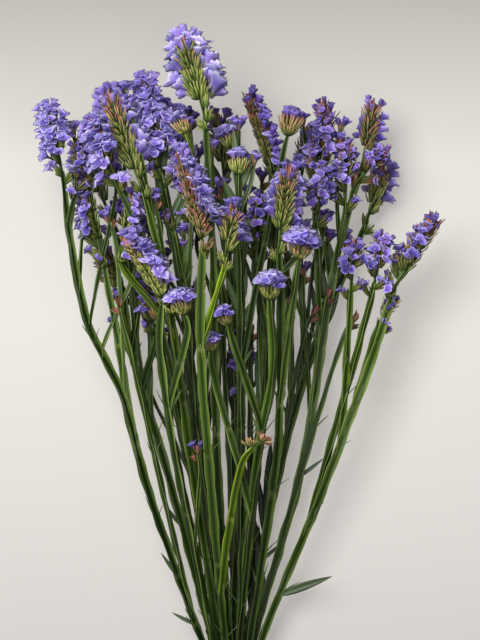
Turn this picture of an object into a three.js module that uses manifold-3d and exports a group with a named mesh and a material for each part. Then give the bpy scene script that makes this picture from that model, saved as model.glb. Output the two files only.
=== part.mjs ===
// A bunch of statice (Limonium sinuatum) lying on its side on a flat surface.
//
// Sixteen winged stems are held by an elastic band near their cut ends and fan out from it. Each stem forks
// into branches, and each branch ends in a flower head: a green spike with two ranks of bract cups, or a
// short fan of them, with ruffled papery calyces, the violet part, standing out of the cups on one side.
//
// Units are millimetres. +X is across the fan, +Y runs from the cut ends to the flowers and +Z is up.
// The table below is written from the middle of the band; the group is shifted so that its origin is the
// middle of the bunch's footprint, on the surface it lies on.

import * as THREE from "three";
import { mergeVertices } from "three/addons/utils/BufferGeometryUtils.js";
import Module from "manifold-3d";

// ------------------------------------------------------------------ driving dimensions
const BAND_TO_ORIGIN = [-6, -234]; // where the middle of the band lies, from the part's origin
const CUT_LENGTH = 62; // stem left behind the band
const CUT_DIFFERENCE = 9; // how much longer or shorter a stem's own cut can be
const CUT_FLARE = 1.2; // how far the stems spread again behind the band
const STEM_PITCH = 7; // spacing of the stems packed inside the band
const SQUEEZED_RADIUS = 3.35; // a stem's reach where the band presses it
const BAND_THICK = 1.6;
const BAND_WIDTH = 9;
const FIT_GAP = 0.3; // gap kept between pieces that touch
const ROW_RISE = STEM_PITCH * Math.sin(Math.PI / 3);
const LOWEST_ROW = BAND_THICK + FIT_GAP + SQUEEZED_RADIUS;
const LOWEST_LAYER = 20; // height of the lowest flower spikes' keels
const LAYER_RISE = 7.8; // each stem spreads in a layer of its own, this much above the one before
const SPREAD_LENGTH = 420; // from the band to where the layers have their full height

// Stems and leaves.
const WING_REACH = 4; // from a stem's middle to its wings' edges, low on the stem
const WING_REACH_HIGH = 2.7; // the same, near the flowers
const BRANCH_REACH = 3.5;
const BRANCH_REACH_HIGH = 2.8;
const SHOOT_REACH = 2.5; // of a weak side shoot that ends in one closed bud
const CORE_RADIUS = 1.9; // at the hollows between the wings, low on the stem
const CORE_RADIUS_HIGH = 1.3;
const CORE_RADIUS_TIED = 3.2; // where the band squeezes the wings flat
const LEADER_SPACING = 84; // between the sections that a leader is drawn through
const BRANCH_SPACING = 54;
const LEAF_EDGE = 0.3; // half of a leaf's thickness at its edge
const LEAF_RIB = 0.6; // height of its raised middle
const FORK_LEAF = [17, 3, 2]; // length, width and rise of the small leaf at each fork

// The flower heads, at size 1. Lengths are along a cup's axis unless they say otherwise.
const CUP_STEP = 8.3; // along the keel, from one cup to the next; they stand left and right by turns
const CUP_LENGTH = 8;
const CUP_RADIUS = 2.7;
const RANK_ANGLE = 36; // each rank of cups leans this far from the middle of the crest, in degrees
const RANK_SCATTER = 6; // and each cup by up to this much more or less
const FORWARD_LEAN = 0.85; // how far a cup leans towards the tip, for each unit outwards
const TIP_LEAN = 0.9; // and how much more the last cup does
const YOUNGEST = 0.78; // size of the last cup
const KEEL_DEPTH = 2.9; // from the keel's line to its back edge
const POINT_LENGTH = 8; // of the closed bract at the tip
const FAN_CUP_LENGTH = 12.5; // a fan is a short head whose cups all rise from one place
const FAN_SPREAD = 0.45; // how far a fan's outer cups lean sideways, for each unit forwards
const FAN_RIBS = 8;
const FAN_FOOT_RADIUS = 3;
const FAN_HALF_WIDTH = 8.6;
const FAN_HALF_DEPTH = 5.6;
const BUD_LENGTH = 11;
const BUD_RADIUS = 3;
const FOOT_GAP = 3.4; // from a cup's end to the foot of its calyx
const CALYX_LENGTH = 8.5; // the papery funnel, from its foot
const CALYX_RADIUS = 6.8; // of the ruffled rim
const PLEATS = 5;
const RIDGE_LIFT = 2.4; // how far the joined tubes' ridge stands out over their feet
const MIDDLE_SIZE = 0.75; // of a calyx in the middle of a crest, beside one in its ranks

// ------------------------------------------------------------------ the stems
// name, column and row in the band, layer, points its leader passes (x, y), and its heads:
// [name, y where the branch leaves the leader (0: the leader itself), base, tip, side the crest faces
//  (degrees: 0 up, 90 right of the head, 180 down; or "fan", "buds" or "bud"), size, lift above its layer]
const STEMS = [
  ["t1", -1.5, 3, 13, [[-44, 200], [-56, 290]], [
    ["t1a", 0, [-54, 323], [-81, 367], 105, 1.1, 0],
    ["t1b", 235, [-37, 313], [-40, 325], "fan", 1.05, 4]]],
  ["t2", -0.5, 3, 15, [[-18, 200], [-24, 300]], [
    ["t2a", 0, [-22, 368], [-40, 431], 115, 1.1, 0],
    ["t2b", 285, [-4, 358], [0, 390], 175, 1.1, -2],
    ["t2c", 84, [17, 206], [23, 213], "buds", 0.8, 12]]],
  ["t3", 0.5, 3, 14, [[22, 200], [34, 272]], [
    ["t3a", 0, [31, 325], [31, 337], "fan", 1.1, 5],
    ["t3b", 150, [-16, 284], [-16, 294], "fan", 0.7, -8],
    ["t3c", 215, [-3, 305], [-6, 315], "fan", 0.75, 0]]],
  ["t4", 1.5, 3, 12, [[36, 200], [39, 300]], [
    ["t4a", 0, [38, 366], [45, 420], 178, 1.2, 0],
    ["t4b", 240, [54, 357], [56, 369], "fan", 1.25, 12]]],
  ["u1", -2, 2, 9, [[-38, 84], [-68, 172], [-89, 250], [-114, 302], [-128, 368]], [
    ["u1a", 0, [-135, 428], [-145, 471], 10, 1.1, 0],
    ["u1b", 384, [-124, 416], [-120, 446], 40, 0.9, 2],
    ["u1c", 205, [-104, 362], [-115, 418], -75, 1.05, -10],
    ["u1d", 60, [-89, 318], [-91, 326], "bud", 1.0, 0]]],
  ["u2", -1, 2, 10, [[-34, 200], [-54, 344]], [
    ["u2a", 0, [-72, 416], [-95, 481], 185, 1.25, 0],
    ["u2b", 330, [-92, 420], [-108, 460], -10, 1.1, 4],
    ["u2c", 300, [-86, 366], [-80, 402], 80, 0.9, 0],
    ["u2d", 110, [-60, 308], [-64, 316], "bud", 1.0, -6]]],
  ["u3", 0, 2, 11, [[-12, 200], [-15, 360]], [
    ["u3a", 0, [-21, 470], [-35, 522], 175, 1.35, 0],
    ["u3b", 395, [-37, 456], [-41, 467], "fan", 0.85, 6]]],
  ["u4", 1, 2, 8, [[8, 200], [8, 320]], [
    ["u4a", 0, [6, 425], [6, 437], "fan", 1.0, 6],
    ["u4b", 372, [0, 446], [-3, 458], "fan", 0.95, -6],
    ["u4c", 270, [45, 456], [48, 468], "fan", 1.09, 2],
    ["u4d", 120, [46, 318], [48, 326], "bud", 1.0, 0]]],
  ["u5", 2, 2, 7, [[79, 184], [110, 268]], [
    ["u5a", 0, [132, 336], [163, 382], -70, 1.1, 0],
    ["u5b", 205, [96, 336], [98, 364], 5, 1.0, 6],
    ["u5c", 235, [121, 308], [126, 322], 60, 0.8, -6],
    ["u5d", 140, [115, 338], [121, 370], 0, 1.0, 2]]],
  ["l1", -1.5, 1, 4, [[-57, 200], [-84, 292]], [
    ["l1a", 0, [-87, 332], [-99, 362], -75, 1.0, 0],
    ["l1b", 250, [-62, 302], [-65, 332], 0, 1.1, 6],
    ["l1c", 275, [-72, 364], [-76, 404], 15, 1.1, 8]]],
  ["l2", -0.5, 1, 6, [[-26, 200], [-38, 336]], [
    ["l2a", 0, [-56, 426], [-68, 494], 5, 1.2, 0],
    ["l2b", 335, [-34, 398], [-41, 446], 0, 1.1, -10],
    ["l2c", 110, [-23, 330], [-23, 338], "bud", 1.0, 0]]],
  ["l3", 0.5, 1, 5, [[22, 200], [32, 320]], [
    ["l3a", 0, [38, 412], [14, 483], 100, 1.05, 0],
    ["l3b", 290, [20, 364], [23, 402], 0, 1.05, 6],
    ["l3c", 335, [69, 388], [74, 424], 10, 1.1, 4],
    ["l3d", 120, [16, 296], [16, 304], "bud", 1.0, 0]]],
  ["l4", 1.5, 1, 3, [[60, 200], [78, 318], [93, 388]], [
    ["l4a", 0, [107, 436], [114, 478], 165, 1.05, 2],
    ["l4b", 285, [70, 416], [77, 474], -20, 1.2, 4],
    ["l4c", 345, [92, 406], [92, 446], 0, 1.1, 8],
    ["l4d", 395, [106, 424], [118, 441], 10, 1.0, 4],
    ["l4e", 120, [98, 306], [102, 313], "bud", 1.0, 12]]],
  ["b1", -1, 0, 1, [[-36, 200], [-70, 320]], [
    ["b1a", 0, [-102, 400], [-120, 444], 195, 1.15, -7]]],
  ["b2", 0, 0, 0, [[4, 200], [0, 320]], [
    ["b2a", 0, [-6, 424], [-10, 468], 180, 1.15, 0],
    ["b2b", 205, [9, 254], [10, 290], 0, 1.0, 8],
    ["b2c", 100, [-6, 305], [-6, 313], "bud", 1.0, 8]]],
  ["b3", 1, 0, 2, [[42, 200], [72, 300]], [
    ["b3a", 0, [111, 390], [121, 425], 160, 1.15, -13],
    ["b3b", 262, [57, 424], [61, 454], 20, 1.1, -6],
    ["b3c", 225, [44, 368], [42, 412], 180, 1.15, -15]]],
];
const CORNER_COLUMNS = [1, 1.5, 2, 1.5]; // outermost column of each row in the band, from the lowest up

// Long narrow leaves on the lower stems: [stem, y, length, width, degrees from +Y towards +X, rise].
const LEAVES = [
  ["u5", 84, 47, 7, 70, 6],
  ["u1", 100, 24, 3.2, -34, 5],
  ["u1", 60, 22, 3.2, -62, 0],
  ["l4", 180, 26, 3.2, 52, 3],
  ["u5", 150, 28, 3.2, 20, 6],
  ["t2", 110, 26, 3.2, 24, 9],
  ["l1", 140, 24, 3.2, -38, 2],
  ["b3", 110, 26, 3.2, 50, 0],
  ["b1", 90, 26, 3.2, -46, 0],
];

// ------------------------------------------------------------------ small helpers
const V = (x, y, z) => new THREE.Vector3(x, y, z);
const radians = THREE.MathUtils.degToRad;
const mix = THREE.MathUtils.lerp;
const ramp = (x, from, to) => THREE.MathUtils.clamp((x - from) / (to - from), 0, 1);
// A number from -1 to 1 that looks random and is the same every time.
const scatter = (n) => 2 * (Math.abs(Math.sin(n * 12.9898) * 43758.5453) % 1) - 1;

const wasm = await Module();
wasm.setup();

// A closed three.js geometry as a solid that can be joined and cut.
function solidOf(geometry) {
  geometry.deleteAttribute("normal");
  geometry.deleteAttribute("uv");
  const merged = mergeVertices(geometry, 1e-4);
  return new wasm.Manifold(new wasm.Mesh({
    numProp: 3,
    vertProperties: merged.attributes.position.array,
    triVerts: new Uint32Array(merged.index.array),
  }));
}

function geometryOf(solid) {
  const mesh = solid.getMesh();
  const positions = new Float32Array(mesh.numVert * 3);
  for (let i = 0; i < mesh.numVert; i++) {
    positions.set(mesh.vertProperties.subarray(i * mesh.numProp, i * mesh.numProp + 3), i * 3);
  }
  return new THREE.BufferGeometry()
    .setAttribute("position", new THREE.BufferAttribute(positions, 3))
    .setIndex(new THREE.BufferAttribute(mesh.triVerts, 1));
}

// Joins rings of points, each a list of as many Vector3, into one closed skin with a point at either end.
function skin(rings, startPoint, endPoint) {
  const sides = rings[0].length;
  const points = [startPoint, ...rings.flat(), endPoint];
  const last = points.length - 1;
  const faces = [];
  for (let j = 0; j < sides; j++) {
    const k = (j + 1) % sides;
    faces.push(0, 1 + j, 1 + k);
    for (let i = 0; i + 1 < rings.length; i++) {
      const a = 1 + i * sides;
      const b = a + sides;
      faces.push(a + j, b + k, a + k, a + j, b + j, b + k);
    }
    faces.push(last, last - sides + k, last - sides + j);
  }
  const positions = points.flatMap((p) => [p.x, p.y, p.z]);
  return new THREE.BufferGeometry()
    .setAttribute("position", new THREE.Float32BufferAttribute(positions, 3))
    .setIndex(faces);
}

// ------------------------------------------------------------------ paths
// The height of a stem's layer at y: all rise from the band to their own layer.
function layerHeight(stem, y) {
  const [, , row, layer] = stem;
  const full = LOWEST_LAYER + LAYER_RISE * layer;
  return mix(LOWEST_ROW + ROW_RISE * row, full, ramp(y, 0, SPREAD_LENGTH));
}

function curve(points) {
  return new THREE.CatmullRomCurve3(points, false, "centripetal");
}

// Points on a curve about `spacing` apart, with the direction of travel at each.
function stations(points, spacing) {
  const line = curve(points);
  const spans = points.length - 1;
  const found = [];
  for (let i = 0; i < spans; i++) {
    const steps = Math.max(1, Math.round(points[i].distanceTo(points[i + 1]) / spacing));
    for (let j = 0; j < steps; j++) found.push((i + j / steps) / spans);
  }
  found.push(1);
  return found.map((t) => ({ at: line.getPoint(t), along: line.getTangent(t) }));
}

// Two directions square to the path: one to its right, and one up out of the surface.
function across(along) {
  const right = new THREE.Vector3().crossVectors(along, V(0, 0, 1)).normalize();
  const up = new THREE.Vector3().crossVectors(right, along).normalize();
  return { right, up };
}

// The point at (right, up, along) of a frame set up at `from`.
function place(from, right, up, along, r, u, a) {
  return from.clone().addScaledVector(right, r).addScaledVector(up, u).addScaledVector(along, a);
}

function headEnds(stem, head) {
  const [, , base, tip, , , lift] = head;
  return [
    V(base[0], base[1], layerHeight(stem, base[1]) + lift),
    V(tip[0], tip[1], layerHeight(stem, tip[1]) + lift),
  ];
}

// A stem's leader runs from its cut end, through the band, to the base of its first head.
function leaderPoints(stem) {
  const [, column, row, , route, heads] = stem;
  const x = column * STEM_PITCH;
  const z = LOWEST_ROW + ROW_RISE * row;
  const cut = -CUT_LENGTH - CUT_DIFFERENCE * scatter(STEMS.indexOf(stem) + 1);
  return [
    V(x * CUT_FLARE, cut, z + 2 * (row - 1)),
    V(x, -14, z),
    V(x, 14, z),
    ...route.map(([px, py]) => V(px, py, layerHeight(stem, py))),
    headEnds(stem, heads[0])[0],
  ];
}

// Where the leader is at y.
function leaderAt(leader, y) {
  const line = curve(leader);
  let low = 0;
  let high = 1;
  for (let i = 0; i < 30; i++) {
    const middle = (low + high) / 2;
    if (line.getPoint(middle).y < y) low = middle;
    else high = middle;
  }
  return line.getPoint(low);
}

// A side branch starts inside the leader, follows it for a moment and bends away to its own head.
function branchPoints(stem, leader, head) {
  const [base, tip] = headEnds(stem, head);
  const approach = base.clone().lerp(tip, -12 / base.distanceTo(tip));
  return [leaderAt(leader, head[1] - 8), leaderAt(leader, head[1]), approach, base];
}

// ------------------------------------------------------------------ stems and leaves
// A three-winged stem along a path. reach(y) gives the wings' tips and core(y) the hollows between them; a
// thin stem has no hollows. Its root, inside the stem that it grows from, is thinner still.
function wingedStem(points, spacing, reach, core, turn, grow) {
  const found = stations(points, spacing);
  const rings = found.map(({ at, along }, i) => {
    const { right, up } = across(along);
    const phase = turn * ramp(at.y, 20, 200);
    const wave = 0.08 * ramp(at.y, 30, 60);
    const wings = Array.from({ length: 3 }, (_, j) => {
      const angle = phase + (j * 2 * Math.PI) / 3;
      const root = core ? 1 : ramp(i, -0.6, 2);
      const r = reach(at.y) * root * (1 + wave * Math.sin(i * 2.1 + j)) + grow;
      return place(at, right, up, along, r * Math.cos(angle), r * Math.sin(angle), 0);
    });
    if (!core) return wings;
    return wings.flatMap((wing, j) => {
      const angle = phase + ((j * 2 + 1) * Math.PI) / 3;
      const r = core(at.y) + grow;
      return [wing, place(at, right, up, along, r * Math.cos(angle), r * Math.sin(angle), 0)];
    });
  });
  const first = found[0].at.clone().addScaledVector(found[0].along, -grow);
  return solidOf(skin(rings, first, found[found.length - 1].at));
}

// A narrow leaf: a thin blade with a raised middle that arches out of the stem and narrows to a point.
function leaf(from, along, length, width, rise, grow) {
  const { right, up } = across(along);
  const sections = [[0.12, 0.6], [0.5, 1]];
  const rings = sections.map(([share, wide]) => {
    const half = (width / 2) * wide + grow;
    const lift = rise * share * (2 - share);
    return [
      place(from, right, up, along, half, lift - LEAF_EDGE - grow, share * length),
      place(from, right, up, along, 0, lift + LEAF_RIB + grow, share * length),
      place(from, right, up, along, -half, lift - LEAF_EDGE - grow, share * length),
    ];
  });
  const root = place(from, right, up, along, 0, 0, -1);
  const point = place(from, right, up, along, 0, rise, length + grow);
  return solidOf(skin(rings, root, point));
}

// ------------------------------------------------------------------ flower heads
// The directions of a head: along its keel, out of its crest, and across the crest.
function headFrame(base, tip, facing) {
  const keel = new THREE.Vector3().subVectors(tip, base).normalize();
  const { right, up } = across(keel);
  const turn = typeof facing === "number" ? radians(facing) : 0;
  const crest = up.clone().multiplyScalar(Math.cos(turn)).addScaledVector(right, Math.sin(turn));
  const side = new THREE.Vector3().crossVectors(keel, crest);
  return { keel, crest, side };
}

function seedOf(head) {
  return [...head[0]].reduce((sum, letter) => sum * 3 + letter.charCodeAt(0), 0) % 997;
}

// How many cups a head has: a spike's stand along its keel, a fan's side by side.
function cupCount(base, tip, facing, size) {
  if (facing === "fan") return Math.round(5 * size);
  return Math.round(base.distanceTo(tip) / (CUP_STEP * Math.min(size, 1.1)));
}

// Every cup of a head: where it stands, which way it points, and its size.
function cupsOf(stem, head) {
  const [, , , , facing, size] = head;
  const [base, tip] = headEnds(stem, head);
  const { keel, crest, side } = headFrame(base, tip, facing);
  const seed = seedOf(head);
  const count = cupCount(base, tip, facing, size);
  return Array.from({ length: count }, (_, i) => {
    if (facing === "fan") {
      const sweep = (2 * i) / (count - 1) - 1;
      const along = keel.clone()
        .addScaledVector(side, FAN_SPREAD * sweep)
        .addScaledVector(crest, (i % 2 ? 0.34 : -0.26) + 0.1 * scatter(seed + i))
        .normalize();
      return {
        at: base, along, rank: 0, length: FAN_CUP_LENGTH * size, size: size * (1.2 - 0.35 * sweep * sweep),
        flare: 0.85, rooted: i % 2 === 0, seed: seed + i,
      };
    }
    const share = (i + 0.5) / (count + 0.1);
    const rank = i % 2 ? 1 : -1;
    const lean = radians(RANK_ANGLE * rank + RANK_SCATTER * scatter(seed + i));
    const along = crest.clone().multiplyScalar(Math.cos(lean))
      .addScaledVector(side, Math.sin(lean))
      .addScaledVector(keel, FORWARD_LEAN + TIP_LEAN * share ** 3)
      .normalize();
    const young = size * mix(1, YOUNGEST, share ** 2);
    return {
      at: base.clone().lerp(tip, share), along, rank, length: CUP_LENGTH * young, size: young,
      flare: Math.abs(facing) > 90 ? 1.25 : 1, rooted: i === 0, seed: seed + i,
    };
  });
}

// The green part of a spike. Each ring goes round the keel at one cup: the back, then the lower and upper
// lip on the right, then on the left. The lips on the cup's own side stand out along the cup's axis.
function spikeBody(stem, head, grow) {
  const [, , , , facing, size] = head;
  const [base, tip] = headEnds(stem, head);
  const { keel, crest, side } = headFrame(base, tip, facing);
  const rings = cupsOf(stem, head).map((c) => {
    const round = new THREE.Vector3().crossVectors(keel, c.along).normalize().multiplyScalar(c.rank);
    const outer = (lip) => c.at.clone()
      .addScaledVector(c.along, c.length + grow)
      .addScaledVector(round, (CUP_RADIUS * c.size + grow) * lip);
    const inner = (wide, high) => (
      place(c.at, side, crest, keel, -c.rank * (wide * c.size + grow), high * c.size, 0));
    const lips = [outer(1), outer(-0.6), inner(1.4, 2.4), inner(3.4, -0.6)];
    if (c.rank < 0) lips.reverse();
    return [place(c.at, side, crest, keel, 0, -KEEL_DEPTH - grow, 0), ...lips];
  });
  // It starts as wide as the stem that it stands on.
  rings.unshift([[0, -KEEL_DEPTH], [2.7, -0.8], [1.7, 2.3], [-1.7, 2.3], [-2.7, -0.8]].map(([s, c]) => (
    place(base, side, crest, keel, s + grow * Math.sign(s), c + grow * Math.sign(c), 0))));
  const start = place(base, side, crest, keel, 0, 0, -4 - grow);
  const point = place(tip, side, crest, keel, 0, 2.5 * size, POINT_LENGTH * size + grow);
  return solidOf(skin(rings, start, point));
}

// The green part of a fan: a ribbed funnel, whose ribs end in the bracts' tips.
function fanBody(stem, head, grow) {
  const [, , , , facing, size] = head;
  const [base, tip] = headEnds(stem, head);
  const { keel, crest, side } = headFrame(base, tip, facing);
  const ring = (distance, wide, deep, ribbing) => Array.from({ length: FAN_RIBS }, (_, j) => {
    const angle = (2 * Math.PI * j) / FAN_RIBS;
    const out = 1 + (j % 2 ? -ribbing : ribbing);
    return place(base, side, crest, keel, (wide * size + grow) * out * Math.cos(angle),
      (deep * size + grow) * out * Math.sin(angle), distance * size + (j % 2 ? 0 : 12 * ribbing) + grow);
  });
  const rings = [
    ring(1.5, FAN_FOOT_RADIUS, FAN_FOOT_RADIUS, 0),
    ring(FAN_CUP_LENGTH * 0.92, FAN_HALF_WIDTH, FAN_HALF_DEPTH, 0.1),
  ];
  return solidOf(skin(rings, place(base, side, crest, keel, 0, 0, -3 - grow),
    place(base, side, crest, keel, 0, 0, FAN_CUP_LENGTH * size + grow)));
}

// Unopened buds: each a tapering four-sided body.
function budsOf(stem, head, grow) {
  const [, , , , facing, size] = head;
  const [base, tip] = headEnds(stem, head);
  const { keel, crest, side } = headFrame(base, tip, facing);
  const single = facing === "bud";
  return Array.from({ length: single ? 1 : 4 }, (_, i) => {
    const along = keel.clone();
    if (!single) along.addScaledVector(crest, 0.3 + 0.2 * i).addScaledVector(side, i % 2 ? 0.6 : -0.6);
    along.normalize();
    const from = base.clone().addScaledVector(keel, -1 - 1.5 * i);
    const { right, up } = across(along);
    const radius = BUD_RADIUS * size + grow;
    const ring = [0, 1, 2, 3].map((j) => {
      const angle = 0.5 + (j * Math.PI) / 2;
      return place(from, right, up, along, radius * Math.cos(angle), radius * Math.sin(angle), 4.5 * size);
    });
    const root = place(from, right, up, along, 0, 0, -1.5);
    return solidOf(skin([ring], root, place(from, right, up, along, 0, 0, BUD_LENGTH * size + grow)));
  });
}

function isInBud(head) {
  return head[4] === "buds" || head[4] === "bud";
}

function footOf(c) {
  return c.at.clone().addScaledVector(c.along, c.length + FOOT_GAP * c.size);
}

// One ruffled calyx: a funnel from its foot to a pleated rim, with its mouth dished.
function calyx(c, grow) {
  const { right, up } = across(c.along);
  const foot = footOf(c);
  const rim = Array.from({ length: PLEATS }, (_, j) => {
    const angle = (2 * Math.PI * (j + 0.35 * scatter(c.seed * 5 + j))) / PLEATS;
    const r = CALYX_RADIUS * c.size * c.flare * (1 + 0.14 * scatter(c.seed * 3 + j)) + grow;
    const height = CALYX_LENGTH * c.size * (j % 2 ? 1.1 : 0.9) + grow;
    return place(foot, right, up, c.along, r * Math.cos(angle), r * Math.sin(angle), height);
  });
  const root = c.rooted ? FIT_GAP + 0.1 - FOOT_GAP * c.size : -0.5;
  return solidOf(skin([rim], place(foot, right, up, c.along, 0, 0, root - grow),
    place(foot, right, up, c.along, 0, 0, CALYX_LENGTH * c.size * 0.5 + grow)));
}

// A crest that faces up shows its middle, so a third rank of calyces stands there, except low in the bunch.
function middleRank(stem, head, cups) {
  const [, , , , facing] = head;
  if (facing === "fan" || Math.abs(facing) > 45 || stem[2] === 0) return [];
  const [base, tip] = headEnds(stem, head);
  const { keel, crest } = headFrame(base, tip, facing);
  return cups.slice(1).filter((_, i) => i % 2 === 0).map((c, i) => {
    const at = c.at.clone().lerp(cups[2 * i].at, 0.5);
    const along = crest.clone().addScaledVector(keel, FORWARD_LEAN).normalize();
    return {
      ...c, rooted: false, at, along, size: MIDDLE_SIZE * c.size, length: c.length + 1.5, seed: c.seed + 50,
    };
  });
}

// The calyces' tubes stand so close that they make one ridge, which runs between the two ranks.
function ridge(cups, grow) {
  const feet = cups.map(footOf);
  const middles = feet.slice(1).map((foot, i) => foot.clone().lerp(feet[i], 0.5));
  if (middles.length === 1) middles.unshift(feet[0]);
  const rings = middles.map((middle, i) => {
    const ahead = new THREE.Vector3()
      .subVectors(middles[Math.min(i + 1, middles.length - 1)], middles[Math.max(i - 1, 0)]).normalize();
    const out = cups[i].along.clone().add(cups[Math.min(i + 1, cups.length - 1)].along).normalize();
    out.addScaledVector(ahead, -out.dot(ahead)).normalize();
    const wide = new THREE.Vector3().crossVectors(out, ahead);
    const reach = Math.abs(feet[Math.min(i + 1, feet.length - 1)].clone().sub(middle).dot(wide));
    const half = reach + 1.3 + grow;
    return [
      place(middle, wide, out, ahead, half, -0.4 - grow, 0),
      place(middle, wide, out, ahead, -half, -0.4 - grow, 0),
      place(middle, wide, out, ahead, 0, RIDGE_LIFT + grow, 0),
    ];
  });
  return solidOf(skin(rings, feet[0], feet[feet.length - 1]));
}

// ------------------------------------------------------------------ whole stems
const leaderReach = (y) => (
  mix(mix(SQUEEZED_RADIUS, WING_REACH, ramp(y, 40, 150)), WING_REACH_HIGH, ramp(y, 300, 440)));
const branchReach = (y) => mix(BRANCH_REACH, BRANCH_REACH_HIGH, ramp(y, 250, 420));
const leaderCore = (y) => (y < -20 ? 2.4 : mix(CORE_RADIUS_TIED,
  mix(CORE_RADIUS, CORE_RADIUS_HIGH, ramp(y, 150, 420)), ramp(y, 16, 70)));

function greenSolid(stem, grow) {
  const [name, , , , , heads] = stem;
  const index = STEMS.indexOf(stem);
  const leader = leaderPoints(stem);
  const pieces = [
    wingedStem(leader, LEADER_SPACING, leaderReach, leaderCore, 0.9 * scatter(index), grow),
  ];
  heads.forEach((head, i) => {
    if (i) {
      const branch = branchPoints(stem, leader, head);
      const reach = head[4] === "bud" ? () => SHOOT_REACH : branchReach;
      pieces.push(wingedStem(branch, BRANCH_SPACING, reach, null, scatter(index + i), grow));
      if (head[4] !== "bud" && head[4] !== "fan") {
        const fork = leaderAt(leader, head[1]);
        const way = Math.sign(head[2][0] - fork.x);
        const away = V(0.5 * way + 0.1 * scatter(index * 5 + i), 1, 0.16).normalize();
        const [length, width, rise] = FORK_LEAF;
        pieces.push(leaf(fork, away, length + 5 * scatter(index * 3 + i), width, rise, grow));
      }
    }
    if (isInBud(head)) pieces.push(...budsOf(stem, head, grow));
    else pieces.push(head[4] === "fan" ? fanBody(stem, head, grow) : spikeBody(stem, head, grow));
  });
  LEAVES.filter(([owner]) => owner === name).forEach(([, y, length, width, heading, rise]) => {
    const along = V(Math.sin(radians(heading)), Math.cos(radians(heading)), 0);
    pieces.push(leaf(leaderAt(leader, y), along, length, width, rise, grow));
  });
  return wasm.Manifold.union(pieces);
}

function violetSolid(stem, head, grow) {
  const cups = cupsOf(stem, head);
  const calyces = [...cups, ...middleRank(stem, head, cups)].map((c) => calyx(c, grow));
  return wasm.Manifold.union([ridge(cups, grow), ...calyces]);
}

// ------------------------------------------------------------------ the elastic band
// The band follows the packed stems: straight runs between the corner stems, and an arc round each of them.
function bandSolid() {
  const corners = [];
  CORNER_COLUMNS.forEach((column, row) => {
    corners.push([column * STEM_PITCH, LOWEST_ROW + ROW_RISE * row]);
  });
  const around = [...corners, ...corners.map(([x, z]) => [-x, z]).reverse()];
  const inner = SQUEEZED_RADIUS + FIT_GAP;
  // The outline as (point, outward direction), going anticlockwise seen from the cut ends.
  const outline = [];
  around.forEach(([x, z], i) => {
    const [px, pz] = around[(i + around.length - 1) % around.length];
    const [nx, nz] = around[(i + 1) % around.length];
    const from = Math.atan2(-(x - px), z - pz);
    let to = Math.atan2(-(nx - x), nz - z);
    while (to < from) to += 2 * Math.PI;
    const steps = Math.max(1, Math.round((to - from) / radians(38)));
    for (let s = 0; s <= steps; s++) {
      const angle = mix(from, to, s / steps);
      outline.push({ at: V(x, 0, z), out: V(Math.cos(angle), 0, Math.sin(angle)) });
    }
  });
  // Two turns lie side by side, so that the section has two rounded ridges.
  const half = BAND_WIDTH / 2;
  const turn = [[-half, 0], [-0.8 * half, BAND_THICK], [-0.2 * half, BAND_THICK]];
  const section = [...turn, [0, 0.45 * BAND_THICK], ...turn.map(([y, thick]) => [-y, thick]).reverse()];
  const sides = section.length;
  const points = outline.flatMap(({ at, out }) => section.map(([y, thick]) => (
    at.clone().addScaledVector(out, inner + thick).add(V(0, y, 0)))));
  const faces = [];
  outline.forEach((_, i) => {
    const a = i * sides;
    const b = ((i + 1) % outline.length) * sides;
    for (let j = 0; j < sides; j++) {
      const k = (j + 1) % sides;
      faces.push(a + j, a + k, b + k, a + j, b + k, b + j);
    }
  });
  return solidOf(new THREE.BufferGeometry()
    .setAttribute("position", new THREE.Float32BufferAttribute(points.flatMap((p) => [p.x, p.y, p.z]), 3))
    .setIndex(faces));
}

// ------------------------------------------------------------------ putting the bunch together
const materials = {
  stem: new THREE.MeshStandardMaterial({ color: 0x4f7a2c, roughness: 0.6, metalness: 0 }),
  calyx: new THREE.MeshStandardMaterial({ color: 0x6f5fd0, roughness: 0.75, metalness: 0 }),
  band: new THREE.MeshStandardMaterial({ color: 0xc9a66b, roughness: 0.55, metalness: 0 }),
};
const bunch = new THREE.Group();
bunch.name = "statice_bunch";
bunch.position.set(BAND_TO_ORIGIN[0], BAND_TO_ORIGIN[1], 0);

function add(name, solid, material) {
  const mesh = new THREE.Mesh(geometryOf(solid), material);
  mesh.name = name;
  bunch.add(mesh);
}

// What would reach below the surface the bunch lies on is cut off flat.
const ground = solidOf(new THREE.BoxGeometry(500, 900, 100).translate(0, 200, -50));

// The biggest body of a solid: what a cut leaves loose is dropped.
function biggest(solid) {
  return solid.decompose().sort((a, b) => b.volume() - a.volume())[0];
}

function near(a, b) {
  const p = a.boundingBox();
  const q = b.boundingBox();
  return [0, 1, 2].every((i) => p.min[i] < q.max[i] && q.min[i] < p.max[i]);
}

const greens = STEMS.map((stem) => greenSolid(stem, 0).subtract(ground));
const greensGrown = STEMS.map((stem) => greenSolid(stem, FIT_GAP));
STEMS.forEach((stem, i) => add(`stem_${stem[0]}`, greens[i], materials.stem));

// The calyces give way to every stem, cup and bud, and to the calyces placed before them.
const bloomsGrown = [];
STEMS.forEach((stem) => {
  stem[5].filter((head) => !isInBud(head)).forEach((head) => {
    let bloom = violetSolid(stem, head, 0).subtract(ground);
    [...greensGrown, ...bloomsGrown].forEach((other) => {
      if (near(bloom, other)) bloom = bloom.subtract(other);
    });
    bloomsGrown.push(violetSolid(stem, head, FIT_GAP));
    add(`bloom_${head[0]}`, biggest(bloom), materials.calyx);
  });
});

add("band", bandSolid(), materials.band);

export default bunch;
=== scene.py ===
"""A tied bunch of statice (Limonium sinuatum), lying on its side. Sizes are in mm until a mesh is made."""
from collections import namedtuple

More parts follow.
